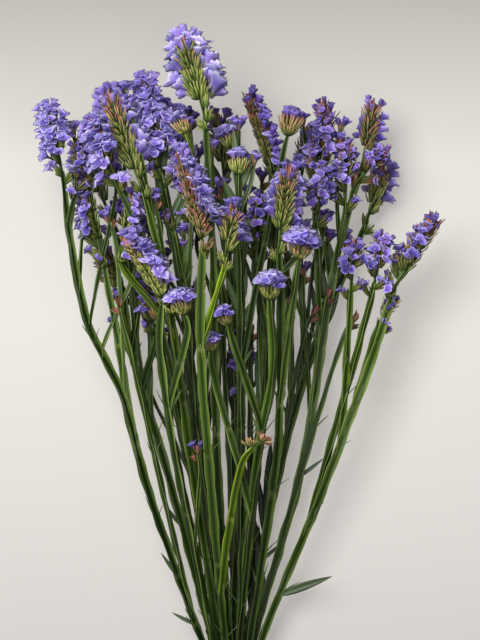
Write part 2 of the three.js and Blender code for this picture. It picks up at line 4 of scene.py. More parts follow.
import bpy
import numpy as np
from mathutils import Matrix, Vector


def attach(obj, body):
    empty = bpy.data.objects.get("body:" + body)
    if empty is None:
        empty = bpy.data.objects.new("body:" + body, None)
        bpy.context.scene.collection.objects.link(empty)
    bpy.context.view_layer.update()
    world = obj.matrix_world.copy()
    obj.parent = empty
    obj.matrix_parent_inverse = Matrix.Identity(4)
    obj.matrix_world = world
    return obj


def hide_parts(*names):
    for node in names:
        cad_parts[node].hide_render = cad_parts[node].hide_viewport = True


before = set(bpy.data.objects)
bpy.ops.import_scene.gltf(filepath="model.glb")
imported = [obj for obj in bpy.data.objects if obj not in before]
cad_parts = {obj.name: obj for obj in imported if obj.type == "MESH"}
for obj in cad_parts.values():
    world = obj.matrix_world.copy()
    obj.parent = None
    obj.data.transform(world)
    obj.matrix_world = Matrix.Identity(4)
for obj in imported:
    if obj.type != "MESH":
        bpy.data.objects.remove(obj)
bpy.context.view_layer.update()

# ------------------------------------------------------------------ winged stems and leaves
# A statice stem is a thin core with three wings of leaf tissue whose edges wave. At a joint the wings end in
# narrow points and a branch leaves. Sixteen stems are packed in the band and fan out from it in layers.
BAND_PLACE = np.array([-6.0, -234.0, 0.0])  # the middle of the band; the plan below is measured from it
CUT_LENGTH, CUT_DIFFERENCE, CUT_FLARE, CUT_RISE = 62.0, 9.0, 1.2, 2.0
STEM_PITCH, SQUEEZED_RADIUS, BAND_THICK, FIT_GAP = 7.0, 3.35, 1.6, 0.3
HELD_LENGTH = 14.0  # the stems run straight as far as this to either side of the band's middle
ROW_RISE = STEM_PITCH * np.sin(np.pi / 3)
LOWEST_ROW = BAND_THICK + FIT_GAP + SQUEEZED_RADIUS
LOWEST_LAYER, LAYER_RISE, SPREAD_LENGTH = 20.0, 7.8, 420.0
MM = 0.001

Plant = namedtuple("Plant", "name column row layer route age heads")
Head = namedtuple("Head", "name fork base tip facing size lift blush pale lime")

# Each plant: name, column and row in the band, layer, the points (x, y) its leader passes, how yellow its
# green is, and its heads. Each head: name, y where its branch leaves, base, tip, the side its crest faces
# (0 up, 90 right, 180 down), size, lift above its layer, then how red its scales, how pale its calyces and
# how light its cups are.
PLAN = [
    ("t1", -1.5, 3, 13, [(-44, 200), (-56, 290)], 0.5, [
        ("t1a", 0, (-54, 323), (-81, 367), 105, 1.1, 0, 0.5, 0.5, 0.9),
        ("t1b", 235, (-37, 313), (-40, 325), "fan", 1.05, 4, 0.25, 0.4, 0.5)]),
    ("t2", -0.5, 3, 15, [(-18, 200), (-24, 300)], 0.65, [
        ("t2a", 0, (-22, 368), (-40, 431), 115, 1.1, 0, 0.95, 0.6, 0.5),
        ("t2b", 285, (-4, 358), (0, 390), 175, 1.1, -2, 0.65, 0.4, 0.7),
        ("t2c", 84, (17, 206), (23, 213), "buds", 0.8, 12, 0.8, 0.2, 0.8)]),
    ("t3", 0.5, 3, 14, [(22, 200), (34, 272)], 0.45, [
        ("t3a", 0, (31, 325), (31, 337), "fan", 1.1, 5, 0.15, 0.45, 0.6),
        ("t3b", 150, (-16, 284), (-16, 294), "fan", 0.7, -8, 0.3, 0.3, 0.4),
        ("t3c", 215, (-3, 305), (-6, 315), "fan", 0.75, 0, 0.3, 0.2, 0.4)]),
    ("t4", 1.5, 3, 12, [(36, 200), (39, 300)], 0.55, [
        ("t4a", 0, (38, 366), (45, 420), 178, 1.2, 0, 0.6, 0.35, 0.5),
        ("t4b", 240, (54, 357), (56, 369), "fan", 1.25, 12, 0.45, 0.35, 0.5)]),
    ("u1", -2, 2, 9, [(-38, 84), (-68, 172), (-89, 250), (-114, 302), (-128, 368)], 0.4, [
        ("u1a", 0, (-135, 428), (-145, 471), 10, 1.1, 0, 0.1, 0.5, 0.3),
        ("u1b", 384, (-124, 416), (-120, 446), 40, 0.9, 2, 0.9, 0.1, 0.1),
        ("u1c", 205, (-104, 362), (-115, 418), -75, 1.05, -10, 0.3, 0.4, 0.3),
        ("u1d", 60, (-89, 318), (-91, 326), "bud", 1.0, 0, 0.6, 0.2, 0.4)]),
    ("u2", -1, 2, 10, [(-34, 200), (-54, 344)], 0.55, [
        ("u2a", 0, (-72, 416), (-95, 481), 185, 1.25, 0, 0.75, 0.6, 0.55),
        ("u2b", 330, (-92, 420), (-108, 460), -10, 1.1, 4, 0.9, 0.5, 0.3),
        ("u2c", 300, (-86, 366), (-80, 402), 80, 0.9, 0, 0.3, 0.4, 0.95),
        ("u2d", 110, (-60, 308), (-64, 316), "bud", 1.0, -6, 0.4, 0.2, 0.5)]),
    ("u3", 0, 2, 11, [(-12, 200), (-15, 360)], 0.45, [
        ("u3a", 0, (-21, 470), (-35, 522), 175, 1.35, 0, 0.35, 1.0, 0.7),
        ("u3b", 395, (-37, 456), (-41, 467), "fan", 0.85, 6, 0.4, 0.65, 1.0)]),
    ("u4", 1, 2, 8, [(8, 200), (8, 320)], 0.2, [
        ("u4a", 0, (6, 425), (6, 437), "fan", 1.0, 6, 0.15, 0.6, 1.0),
        ("u4b", 372, (0, 446), (-3, 458), "fan", 0.95, -6, 0.2, 0.45, 0.4),
        ("u4c", 270, (45, 456), (48, 468), "fan", 1.09, 2, 0.75, 0.3, 0.55),
        ("u4d", 120, (46, 318), (48, 326), "bud", 1.0, 0, 0.5, 0.2, 0.4)]),
    ("u5", 2, 2, 7, [(79, 184), (110, 268)], 0.6, [
        ("u5a", 0, (132, 336), (163, 382), -70, 1.1, 0, 0.85, 0.3, 0.5),
        ("u5b", 205, (96, 336), (98, 364), 5, 1.0, 6, 0.4, 0.2, 0.3),
        ("u5c", 235, (121, 308), (126, 322), 60, 0.8, -6, 0.6, 0.1, 0.3),
        ("u5d", 140, (115, 338), (121, 370), 0, 1.0, 2, 0.5, 0.25, 0.3)]),
    ("l1", -1.5, 1, 4, [(-57, 200), (-84, 292)], 0.35, [
        ("l1a", 0, (-87, 332), (-99, 362), -75, 1.0, 0, 0.8, 0.15, 0.2),
        ("l1b", 250, (-62, 302), (-65, 332), 0, 1.1, 6, 0.4, 0.1, 0.2),
        ("l1c", 275, (-72, 364), (-76, 404), 15, 1.1, 8, 0.3, 0.15, 0.2)]),
    ("l2", -0.5, 1, 6, [(-26, 200), (-38, 336)], 0.4, [
        ("l2a", 0, (-56, 426), (-68, 494), 5, 1.2, 0, 0.3, 0.5, 0.3),
        ("l2b", 335, (-34, 398), (-41, 446), 0, 1.1, -10, 0.3, 0.4, 0.3),
        ("l2c", 110, (-23, 330), (-23, 338), "bud", 1.0, 0, 0.4, 0.2, 0.4)]),
    ("l3", 0.5, 1, 5, [(22, 200), (32, 320)], 0.35, [
        ("l3a", 0, (38, 412), (14, 483), 100, 1.05, 0, 0.7, 0.2, 0.15),
        ("l3b", 290, (20, 364), (23, 402), 0, 1.05, 6, 0.3, 0.1, 0.2),
        ("l3c", 335, (69, 388), (74, 424), 10, 1.1, 4, 0.4, 0.3, 0.3),
        ("l3d", 120, (16, 296), (16, 304), "bud", 1.0, 0, 0.5, 0.2, 0.3)]),
    ("l4", 1.5, 1, 3, [(60, 200), (78, 318), (93, 388)], 0.5, [
        ("l4a", 0, (107, 436), (114, 478), 165, 1.05, 2, 0.95, 0.2, 0.2),
        ("l4b", 285, (70, 416), (77, 474), -20, 1.2, 4, 0.85, 0.3, 0.4),
        ("l4c", 345, (92, 406), (92, 446), 0, 1.1, 8, 0.5, 0.2, 0.3),
        ("l4d", 395, (106, 424), (118, 441), 10, 1.0, 4, 0.95, 0.2, 0.2),
        ("l4e", 120, (98, 306), (102, 313), "bud", 1.0, 12, 0.6, 0.2, 0.3)]),
    ("b1", -1, 0, 1, [(-36, 200), (-70, 320)], 0.3, [
        ("b1a", 0, (-102, 400), (-120, 444), 195, 1.15, -7, 0.4, 0.2, 0.3)]),
    ("b2", 0, 0, 0, [(4, 200), (0, 320)], 0.3, [
        ("b2a", 0, (-6, 424), (-10, 468), 180, 1.15, 0, 0.4, 0.2, 0.3),
        ("b2b", 205, (9, 254), (10, 290), 0, 1.0, 8, 0.6, 0.1, 0.15),
        ("b2c", 100, (-6, 305), (-6, 313), "bud", 1.0, 8, 0.5, 0.2, 0.3)]),
    ("b3", 1, 0, 2, [(42, 200), (72, 300)], 0.35, [
        ("b3a", 0, (111, 390), (121, 425), 160, 1.15, -13, 0.65, 0.3, 0.5),
        ("b3b", 262, (57, 424), (61, 454), 20, 1.1, -6, 0.4, 0.2, 0.3),
        ("b3c", 225, (44, 368), (42, 412), 180, 1.15, -15, 0.4, 0.2, 0.3)]),
]
PLANTS = [Plant(*row[:6], [Head(*head) for head in row[6]]) for row in PLAN]


def scatter(n):
    """A number from -1 to 1 for each n, which looks random and is the same every time."""
    return 2 * (np.abs(np.sin(np.asarray(n, float) * 12.9898) * 43758.5453) % 1) - 1


def unit(v):
    """Vectors divided by their lengths."""
    return v / np.maximum(np.linalg.norm(v, axis=-1, keepdims=True), 1e-9)


def ramp(x, low, high):
    """A straight rise from 0 at low to 1 at high, and level outside them."""
    return np.clip((np.asarray(x, float) - low) / (high - low), 0, 1)


def mix(a, b, share):
    """a, and a share of the way on to b."""
    return a + (b - a) * share


def across(along):
    """Two directions square to a path: one to its right, and one up out of the surface it lies on."""
    right = unit(np.cross(along, [0.0, 0.0, 1.0]))
    return right, unit(np.cross(right, along))


def layer_height(plant, y):
    """All stems rise from their row in the band to a layer of their own."""
    full = LOWEST_LAYER + LAYER_RISE * plant.layer
    return mix(LOWEST_ROW + ROW_RISE * plant.row, full, ramp(y, 0, SPREAD_LENGTH))


def head_ends(plant, head):
    """The base and tip of a head, at the height of its plant's layer."""
    return [np.array([x, y, layer_height(plant, y) + head.lift]) for x, y in (head.base, head.tip)]


def smooth_curve(points):
    """A curve through points: a cubic for each span. Its end slopes weigh the chords on either side by the
    square roots of their lengths."""
    p = np.vstack([2 * points[0] - points[1], points, 2 * points[-1] - points[-2]])
    d = np.sqrt(np.linalg.norm(np.diff(p, axis=0), axis=1))[:, None]
    a, b, c, e = p[:-3], p[1:-2], p[2:-1], p[3:]
    d0, d1, d2 = d[:-2], d[1:-1], d[2:]
    leave = ((b - a) / d0 - (c - a) / (d0 + d1) + (c - b) / d1) * d1
    arrive = ((c - b) / d1 - (e - b) / (d1 + d2) + (e - c) / d2) * d1

    def at(t):
        q = np.clip(t, 0, 1) * (len(points) - 1)
        i = np.minimum(q.astype(int), len(points) - 2)
        w = (q - i)[:, None]
        return (b[i] + leave[i] * w + (3 * (c[i] - b[i]) - 2 * leave[i] - arrive[i]) * w ** 2
                + (2 * (b[i] - c[i]) + leave[i] + arrive[i]) * w ** 3)

    return at


def walk(points, spacing):
    """Evenly spaced points on the smooth curve, the direction of travel there, and the distance walked."""
    p = smooth_curve(np.asarray(points))(np.linspace(0, 1, 60 * (len(points) - 1) + 1))
    s = np.concatenate([[0], np.cumsum(np.linalg.norm(np.diff(p, axis=0), axis=1))])
    wanted = np.linspace(0, s[-1], max(3, int(round(s[-1] / spacing))) + 1)
    at = np.column_stack([np.interp(wanted, s, p[:, k]) for k in range(3)])
    return at, unit(np.gradient(at, axis=0)), wanted


def leader_points(plant, index):
    """From the cut end, through the band, to the base of the plant's first head."""
    x, z = plant.column * STEM_PITCH, LOWEST_ROW + ROW_RISE * plant.row
    cut = -CUT_LENGTH - CUT_DIFFERENCE * scatter(index + 1)
    cut_end = (x * CUT_FLARE, cut, z + CUT_RISE * (plant.row - 1))
    through = [cut_end, (x, -HELD_LENGTH, z), (x, HELD_LENGTH, z)]
    through += [(px, py, layer_height(plant, py)) for px, py in plant.route]
    return np.array(through + [head_ends(plant, plant.heads[0])[0]], float)


def leader_at(leader, y):
    """The point of the leader at y."""
    p = smooth_curve(leader)(np.linspace(0, 1, 2001))
    return np.array([np.interp(y, p[:, 1], p[:, k]) for k in range(3)])


def branch_points(plant, leader, head):
    """A branch starts inside the leader, follows it for a moment and bends away to its own head."""
    base, tip = head_ends(plant, head)
    before = base - (tip - base) * 12 / np.linalg.norm(tip - base)
    return np.array([leader_at(leader, head.fork - 8), leader_at(leader, head.fork), before, base])


def skins(rings, start, end):
    """Closed skins from rings (bodies, rings, sides, 3), each with a point at either end: triangles run from
    ring to ring, and fan out from each end. Gives points and faces."""
    bodies, count, sides = rings.shape[:3]
    points = np.concatenate([start[:, None], rings.reshape(bodies, -1, 3), end[:, None]], axis=1)
    j = np.arange(sides)
    k = (j + 1) % sides
    last = count * sides + 1
    a = 1 + np.arange(count - 1)[:, None] * sides
    faces = np.concatenate([
        np.stack([0 * j, 1 + j, 1 + k], -1),
        np.stack([a + j, a + sides + k, a + k], -1).reshape(-1, 3),
        np.stack([a + j, a + sides + j, a + sides + k], -1).reshape(-1, 3),
        np.stack([0 * j + last, last - sides + k, last - sides + j], -1)])
    step = points.shape[1]
    faces = (faces[None] + (np.arange(bodies) * step)[:, None, None]).reshape(-1, 3)
    return points.reshape(-1, 3), faces


def ring_tone(values, start, end):
    """The four tone channels of every point of skins() from those of its rings (bodies, rings, sides, 4)."""
    bodies = values.shape[0]
    first = np.broadcast_to(start, (bodies, 1, 4))
    last = np.broadcast_to(end, (bodies, 1, 4))
    return np.concatenate([first, values.reshape(bodies, -1, 4), last], axis=1).reshape(-1, 4)


WING_TURNS = np.arange(3) * 2 * np.pi / 3
PATH_STEP, RING_STEP, SHOOT_RING_STEP = 2.6, 3.3, 6.0
HELD_TO, FREE_FROM = 16, 60  # the y up to which the band holds the wings, and from which they wave freely
TURN_FROM, TURN_TO = 20, 200
KNOT_LENGTH, ROOT_LENGTH, TOP_LENGTH = 1.5, 26, 18


def winged_stem(points, reach, core, turn, joints, seed, age, root_share=1.0, top_share=1.0, step=RING_STEP):
    """A ring of seven points to a wing is carried along the path: the hollow before the wing, its foot,
    waist and edge, then edge, waist and foot on its other side. The edge's reach waves, and grows from each
    joint on to the next one. reach and core are functions of y, and tone is joint, edge, chance and age."""
    at, along, s = walk(points, step)
    right, up = across(along)
    y = at[:, 1]
    phase = turn * ramp(y, TURN_FROM, TURN_TO)
    marks = np.sort(np.array([0.0, *joints, s[-1] + 1]))
    slot = np.clip(np.searchsorted(marks, s, "right") - 1, 0, len(marks) - 2)
    grown = (s - marks[slot]) / (marks[slot + 1] - marks[slot])
    knot = 0.45 + 0.45 * scatter(marks[1:-1])
    near_joint = (knot * np.exp(-((s[:, None] - marks[None, 1:-1]) / KNOT_LENGTH) ** 2)).sum(1)
    free = ramp(y, HELD_TO, FREE_FROM)
    taper = mix(root_share, 1, ramp(s, 0, ROOT_LENGTH))
    taper = taper * mix(1, top_share, ramp(s, s[-1] - TOP_LENGTH, s[-1]))
    rings, tones = [], []
    for j, wing in enumerate(WING_TURNS):
        own = 3 * seed + j
        angle = phase + wing + free * 0.16 * np.sin(s / 23 + 2 * scatter(own))
        out = right * np.cos(angle)[:, None] + up * np.sin(angle)[:, None]
        side = up * np.cos(angle)[:, None] - right * np.sin(angle)[:, None]
        wave = 1 + free * (0.07 * np.sin(s / 9 + 3 * scatter(own + 7)) + 0.05 * np.sin(s / 3.7 + own))
        inner = core(y) * (1 + 0.08 * near_joint)
        wide = np.maximum(reach(y) * wave * mix(1, mix(0.97, 1.05, grown), free) * taper, inner + 0.15)
        sway = free * 0.55 * np.sin(s / 7 + 3 * scatter(own + 3))
        waist = mix(inner, wide, 0.55)
        # Each point of the ring: how far out it is, how far to the side, and how near the edge.
        for r, q, edge in [(0.5 * inner, -0.866 * inner, 0.0), (0.97 * inner, -0.55 + 0 * s, 0.3),
                           (waist, -0.3 + 0.3 * sway, 0.7), (wide, -0.16 + sway, 1.0),
                           (wide, 0.16 + sway, 1.0), (waist, 0.3 + 0.3 * sway, 0.7),
                           (0.97 * inner, 0.55 + 0 * s, 0.3)]:
            rings.append(at + out * r[:, None] + side * q[:, None])
            tone = [near_joint, edge + 0 * s, 0.5 + 0.5 * scatter(own) + 0 * s, age + 0 * s]
            tones.append(np.stack(tone, -1))
    rings = np.stack(rings, axis=1)[None]
    tones = np.stack(tones, axis=1)[None]
    points, faces = skins(rings, at[None, 0] - along[None, 0] * 0.3, at[None, -1] + along[None, -1] * 0.3)
    return points, faces, ring_tone(tones, [0.0, 0.2, 0.5, age], [0.0, 0.2, 0.5, age]), 0


LEAF_ROWS = np.array([0.03, 0.14, 0.3, 0.5, 0.7, 0.86, 0.96])
# Round a leaf's section: the place across it, and the height above its middle.
LEAF_SECTION = [(1, 0.22), (0.5, 0.28), (0, 0.18), (-0.5, 0.28),
                (-1, 0.22), (-0.5, -0.05), (0, -0.28), (0.5, -0.05)]


def leaves(root, along, out, length, width, curl, chance):
    """Narrow blades. Along each, the middle line is the root, plus along times the distance, plus out times
    curl times the distance squared; the half width rises and falls as a sine power; the section is a shallow
    V with a rib. All arguments are arrays over the blades, and tone is along, edge, chance and 0."""
    v = LEAF_ROWS
    side = unit(np.cross(along, out))
    middle = (root[:, None] + along[:, None] * (v * length[:, None])[..., None]
              + out[:, None] * (curl[:, None] * v ** 2 * length[:, None])[..., None])
    half = 0.5 * width[:, None] * np.sin(np.pi * v ** 0.75) ** 0.8
    rings = np.stack([middle + side[:, None] * (half * q)[..., None]
                      + out[:, None] * (0.35 * half * abs(q) + r - 0.1)[..., None]
                      for q, r in LEAF_SECTION], axis=2)
    tip = root + along * length[:, None] + out * (curl * length)[:, None]
    points, faces = skins(rings, root - along * 0.5, tip)
    tone = np.empty(rings.shape[:3] + (4,))
    tone[..., 0] = v[None, :, None]
    tone[..., 1] = np.abs([q for q, _ in LEAF_SECTION])
    tone[..., 2] = chance[:, None, None]
    tone[..., 3] = 0
    return points, faces, ring_tone(tone, [0, 0, 0.5, 0], [1, 1, 0.5, 0]), 1


def leader_reach(y):
    """How far a leader's wings reach: squeezed in the band, wide above it, narrow near the head."""
    return mix(mix(SQUEEZED_RADIUS, 4.1, ramp(y, 40, 150)), 2.8, ramp(y, 300, 440))


def leader_core(y):
    """A leader's core fills its wings in the band, and thins above it."""
    return mix(3.15, mix(1.75, 1.1, ramp(y, 150, 420)), ramp(np.abs(y), HELD_TO, FREE_FROM))


def branch_reach(y):
    """How far a branch's wings reach, which is less near its head."""
    return mix(3.5, 2.6, ramp(y, 250, 420))


def branch_core(y):
    """A branch's core, which is thinner than its leader's and thins a little upwards."""
    return mix(1.2, 0.95, ramp(y, 250, 420))


def even(radius):
    """A reach or a core that is the same all along."""
    return lambda y: radius + 0 * y


def joint_leaves(at, along, size, seed, sides=3):
    """The points in which the wings end at a joint: one blade to each wing, which leans away and curls."""
    right, up = across(along)
    turns = WING_TURNS[:sides] + 0.9 * scatter(seed)
    out = np.cos(turns)[:, None] * right + np.sin(turns)[:, None] * up
    n = seed * 7 + np.arange(sides)
    lean = 0.3 + 0.28 * scatter(n + 2)
    direction = unit(along + out * lean[:, None])
    length = size * (13 + 8 * scatter(n))
    return leaves(at + out * 1.1, direction, out, length, size * (1.5 + 0.35 * scatter(n + 4)),
                  0.05 + 0.55 * scatter(n + 1), 0.5 + 0.5 * scatter(n + 3))


# The larger leaves of the lower stems: plant, y, length, width, degrees from +Y towards +X, rise.
LARGE_LEAVES = [("u5", 84, 47, 7, 70, 6), ("u1", 100, 24, 3.2, -34, 5), ("u1", 60, 22, 3.2, -62, 0),
                ("l4", 180, 26, 3.2, 52, 3), ("u5", 150, 28, 3.2, 20, 6), ("t2", 110, 26, 3.2, 24, 9),
                ("l1", 140, 24, 3.2, -38, 2), ("b3", 110, 26, 3.2, 50, 0), ("b1", 90, 26, 3.2, -46, 0)]

# Weak side shoots, many of them deep in the bunch: plant, y of the fork, base, tip, lift, blush, calyces.
SHOOT_PLAN = [
    ("l1", 232, (-60, 396), (-65, 414), -6, 0.5, 3), ("b1", 196, (-66, 312), (-72, 330), 6, 0.6, 3),
    ("b1", 176, (-92, 300), (-98, 312), 0, 0.7, 3), ("l2", 228, (-46, 362), (-49, 376), -8, 0.4, 3),
    ("b2", 190, (-30, 322), (-33, 336), 4, 0.5, 3), ("b2", 252, (6, 398), (9, 414), 0, 0.6, 5),
    ("l3", 236, (24, 372), (27, 386), -8, 0.4, 3), ("b3", 222, (54, 352), (57, 366), 4, 0.5, 0),
    ("b3", 196, (66, 312), (71, 322), 8, 0.9, 0), ("l4", 226, (78, 326), (81, 338), 6, 0.9, 0),
    ("l4", 250, (90, 372), (96, 386), -4, 0.6, 5), ("u3", 190, (-10, 352), (-12, 366), -10, 0.4, 3),
    ("u1", 232, (-98, 386), (-104, 400), -14, 0.6, 5), ("l2", 180, (-14, 300), (-12, 312), 2, 0.5, 0),
    ("u2", 236, (-66, 388), (-72, 402), -10, 0.6, 5), ("t1", 120, (-27, 200), (-28, 208), -2, 0.6, 2),
    ("l2", 300, (-33, 458), (-35, 471), 2, 0.5, 7), ("u2", 330, (-81, 476), (-84, 486), -8, 0.3, 7),
    ("b1", 250, (-101, 473), (-104, 484), 0, 0.3, 7), ("u3", 340, (-15, 440), (-15, 451), -16, 0.5, 7),
    ("l3", 300, (-7, 410), (-9, 421), 2, 0.6, 5), ("u2", 280, (-61, 401), (-64, 414), -12, 0.5, 7),
    ("l2", 250, (-51, 385), (-54, 397), 0, 0.4, 5), ("b2", 280, (-28, 378), (-28, 390), 6, 0.5, 5),
    ("l2", 262, (-38, 361), (-39, 372), -8, 0.6, 5), ("l3", 320, (12, 405), (13, 416), -4, 0.5, 5),
    ("b3", 280, (25, 419), (25, 430), 0, 0.5, 5), ("l4", 240, (76, 385), (78, 396), 0, 0.5, 5),
    ("b3", 240, (69, 363), (71, 375), -4, 0.7, 3), ("l1", 240, (-87, 390), (-89, 402), 4, 0.5, 5),
    ("u1", 280, (-78, 363), (-80, 374), -16, 0.5, 5), ("l1", 220, (-70, 338), (-72, 349), 0, 0.5, 5),
    ("u1", 330, (-119, 440), (-121, 451), -12, 0.5, 5), ("l4", 330, (58, 464), (57, 475), 4, 0.6, 5),
    ("l4", 360, (88, 459), (90, 470), 6, 0.6, 5), ("b1", 270, (-64, 435), (-67, 446), 0, 0.4, 5),
    ("u2", 340, (-84, 485), (-85, 493), -10, 0.3, 7), ("l2", 340, (-74, 488), (-75, 497), -4, 0.3, 7),
    ("b1", 260, (-104, 484), (-104, 492), 4, 0.4, 7), ("l2", 345, (-56, 476), (-54, 484), -10, 0.3, 7),
    ("l3", 330, (-43, 470), (-42, 478), -6, 0.3, 7), ("b2", 300, (-33, 469), (-33, 477), -2, 0.3, 7),
    ("b2", 290, (-27, 438), (-27, 447), 8, 0.4, 6), ("u1", 370, (-125, 453), (-127, 464), -6, 0.5, 5),
    ("u4", 380, (6, 459), (6, 467), 0, 0.6, 6), ("u4", 390, (18, 431), (19, 438), 0, 0.5, 4),
    ("l1", 250, (-100, 373), (-100, 382), 0, 0.4, 6), ("b1", 230, (-94, 397), (-93, 406), 0, 0.4, 6),
    ("b3", 250, (78, 371), (79, 381), 0, 0.6, 6), ("l4", 220, (59, 343), (59, 352), 0, 0.6, 5),
    ("l2", 262, (-38, 374), (-38, 383), -4, 0.4, 6), ("b2", 262, (-53, 357), (-54, 367), 6, 0.4, 6),
    ("b2", 280, (-15, 403), (-14, 413), 0, 0.4, 6), ("u1", 300, (-94, 424), (-95, 433), -20, 0.5, 6),
    ("l1", 260, (-86, 440), (-86, 450), 0, 0.4, 6), ("l2", 280, (-63, 374), (-64, 383), -6, 0.4, 6)]
WEAK_SHOOTS = [(owner, Head("", fork, base, tip, "bud", 0.9, lift, blush, 0.0, 0.35), count)
               for owner, fork, base, tip, lift, blush, count in SHOOT_PLAN]


JOINT_PITCH, JOINT_ROOM, BARE_TOP = 78, 26, 40


def joint_places(plant, index):
    """The y of a leader's joints: at its branches and large leaves, and where there is room between them."""
    places = sorted([head.fork for head in plant.heads[1:]]
                    + [float(row[1]) for row in LARGE_LEAVES if row[0] == plant.name])
    first = 70 + 24 * scatter(index + 40)
    between = [first + JOINT_PITCH * k + 9 * scatter(index * 9 + k) for k in range(5)]
    return sorted(places + [y for y in between if y < plant.heads[0].base[1] - BARE_TOP
                            and all(abs(y - other) > JOINT_ROOM for other in places)])


def branch(plant, leader, index, number, head):
    """A head's branch, the points at its middle joint if it is a long one, and the leaf in its fork."""
    route = branch_points(plant, leader, head)
    at, along, s = walk(route, PATH_STEP)
    long = s[-1] > 90
    shoot = head.facing == "bud"
    parts = [winged_stem(route, even(2.5) if shoot else branch_reach, even(0.8) if shoot else branch_core,
                         float(scatter(index + number)), [s[-1] * 0.55] if long else [],
                         index * 4 + number + 60, plant.age + 0.35 * (head.lime >= 0.7), 0.5,
                         0.9 if shoot else 0.6)]
    if long:
        where = int(len(at) * 0.55)
        parts.append(joint_leaves(at[where], along[where], 0.8, index * 11 + number, 2))
    fork = leader_at(leader, head.fork)
    way = np.sign(head.base[0] - fork[0])
    away = unit(np.array([[0.5 * way + 0.1 * float(scatter(index * 5 + number)), 1, 0.16]]))
    length = 17 + 5 * scatter([index * 3 + number])
    parts.append(leaves(fork[None], away, across(away)[1], length,
                        np.array([3.0]), np.array([0.12]), np.array([0.5])))
    return parts


def narrow_leaves(plant, leader, index):
    """The lower stems carry narrow leaves among the flower heads, where the bunch is thick, and longer ones
    further down, which lie along the stems. All are kept dark, as fill that stands in for the shade deep in
    the bunch."""
    parts = []
    spots = np.array([leader_at(leader, y) for y in np.arange(300, plant.heads[0].base[1] + 5, 10.0)])
    spots = spots[np.abs(spots[:, 0]) < 84]
    if plant.layer < 9 and len(spots):
        n = index * 31 + np.arange(len(spots))
        away = unit(np.stack([0.5 * scatter(n), 1 + 0 * n, 0.05 + 0.15 * scatter(n + 5)], -1))
        up = across(away)[1]
        # A low chance keeps these leaves dark: dark fill that stands in for shade deep in the bunch.
        parts.append(leaves(spots - up * 3, away, up, 34 + 10 * scatter(n + 1), 6.8 + 1.6 * scatter(n + 2),
                            0.1 * scatter(n + 3), 0.25 + 0.25 * scatter(n + 4)))
    spots = np.array([leader_at(leader, y) for y in np.arange(66, 300, 12.0)])
    spots = spots[np.abs(spots[:, 0]) < 18 + 0.13 * spots[:, 1]]
    if plant.layer < 7 and len(spots):
        n = index * 37 + np.arange(len(spots))
        aside = 0.16 * scatter(n) + 0.001 * spots[:, 0]
        away = unit(np.stack([aside, 1 + 0 * n, 0.04 * scatter(n + 5)], -1))
        right, up = across(away)
        root = spots - up * 1.5 + right * (3 * scatter(n + 6))[:, None]
        # A low chance keeps these leaves dark: dark fill that stands in for shade deep in the bunch.
        parts.append(leaves(root, away, up, 50 + 14 * scatter(n + 1), 6.4 + 1.6 * scatter(n + 2),
                            0.03 * scatter(n + 3), 0.25 + 0.25 * scatter(n + 4)))
    return parts


def large_leaf(leader, y, length, width, heading, rise):
    """One blade that leaves the leader at y and curls up as it goes."""
    turn = np.radians(heading)
    away = np.array([[np.sin(turn), np.cos(turn), 0.0]])
    return leaves(leader_at(leader, y)[None], away, np.array([[0.0, 0.0, 1.0]]), np.array([float(length)]),
                  np.array([float(width)]), np.array([rise / length]), np.array([0.3]))


green_parts = {}
for index, plant in enumerate(PLANTS):
    leader = leader_points(plant, index)
    places = joint_places(plant, index)
    at, along, s = walk(leader, PATH_STEP)
    parts = [winged_stem(leader, leader_reach, leader_core, 0.9 * float(scatter(index)),
                         np.interp(places, at[:, 1], s), index, plant.age, top_share=0.55)]
    for k, y in enumerate(places):
        where = leader_at(leader, y)
        direction = unit(leader_at(leader, y + 2) - where)
        parts.append(joint_leaves(where, direction, 1.0 if y > 150 else 1.15, index * 5 + k))
    for number, head in enumerate(plant.heads[1:], 1):
        parts += branch(plant, leader, index, number, head)
    for number, (owner, shoot, _) in enumerate(WEAK_SHOOTS):
        if owner == plant.name:
            route = branch_points(plant, leader, shoot)
            parts.append(winged_stem(route, even(1.9), even(0.75), float(scatter(number)), [], number + 200,
                                     plant.age, 0.6, 0.9, SHOOT_RING_STEP))
    parts += narrow_leaves(plant, leader, index)
    parts += [large_leaf(leader, *row[1:]) for row in LARGE_LEAVES if row[0] == plant.name]
    green_parts[plant.name] = parts


def new_material(name):
    """A material, its node tree and its shader."""
    made = bpy.data.materials.new(name)
    made.use_nodes = True
    return made, made.node_tree, made.node_tree.nodes["Principled BSDF"]


def tone_channels(tree):
    """The four channels of the tone attribute, and mood, as sockets."""
    tone = tree.nodes.new("ShaderNodeAttribute")
    tone.attribute_name = "tone"
    split = tree.nodes.new("ShaderNodeSeparateColor")
    tree.links.new(tone.outputs["Color"], split.inputs[0])
    mood = tree.nodes.new("ShaderNodeAttribute")
    mood.attribute_name = "mood"
    return split.outputs[0], split.outputs[1], split.outputs[2], tone.outputs["Alpha"], mood.outputs["Fac"]


def colour_ramp(tree, factor, *stops):
    """A colour that passes through the stops, each a place from 0 to 1 and a colour."""
    node = tree.nodes.new("ShaderNodeValToRGB")
    elements = node.color_ramp.elements
    while len(elements) < len(stops):
        elements.new(0.5)
    for element, (position, colour) in zip(elements, stops):
        element.position = position
        element.color = (*colour, 1)
    tree.links.new(factor, node.inputs[0])
    return node.outputs[0]


def blend(tree, factor, a, b, kind="MIX"):
    """Colour b laid over colour a by a factor. Each of them may be a socket."""
    node = tree.nodes.new("ShaderNodeMix")
    node.data_type = "RGBA"
    node.blend_type = kind
    for socket, value in ((node.inputs[0], factor), (node.inputs[6], a), (node.inputs[7], b)):
        if isinstance(value, bpy.types.NodeSocket):
            tree.links.new(value, socket)
        else:
            socket.default_value = value if isinstance(value, float) else (*value, 1)
    return node.outputs[2]


def varied(tree, body, factor, low, high, share=1.0):
    """The colour multiplied by low where the factor is 0 and by high where it is 1, as far as share says."""
    return blend(tree, share, body, blend(tree, factor, low, high), "MULTIPLY")


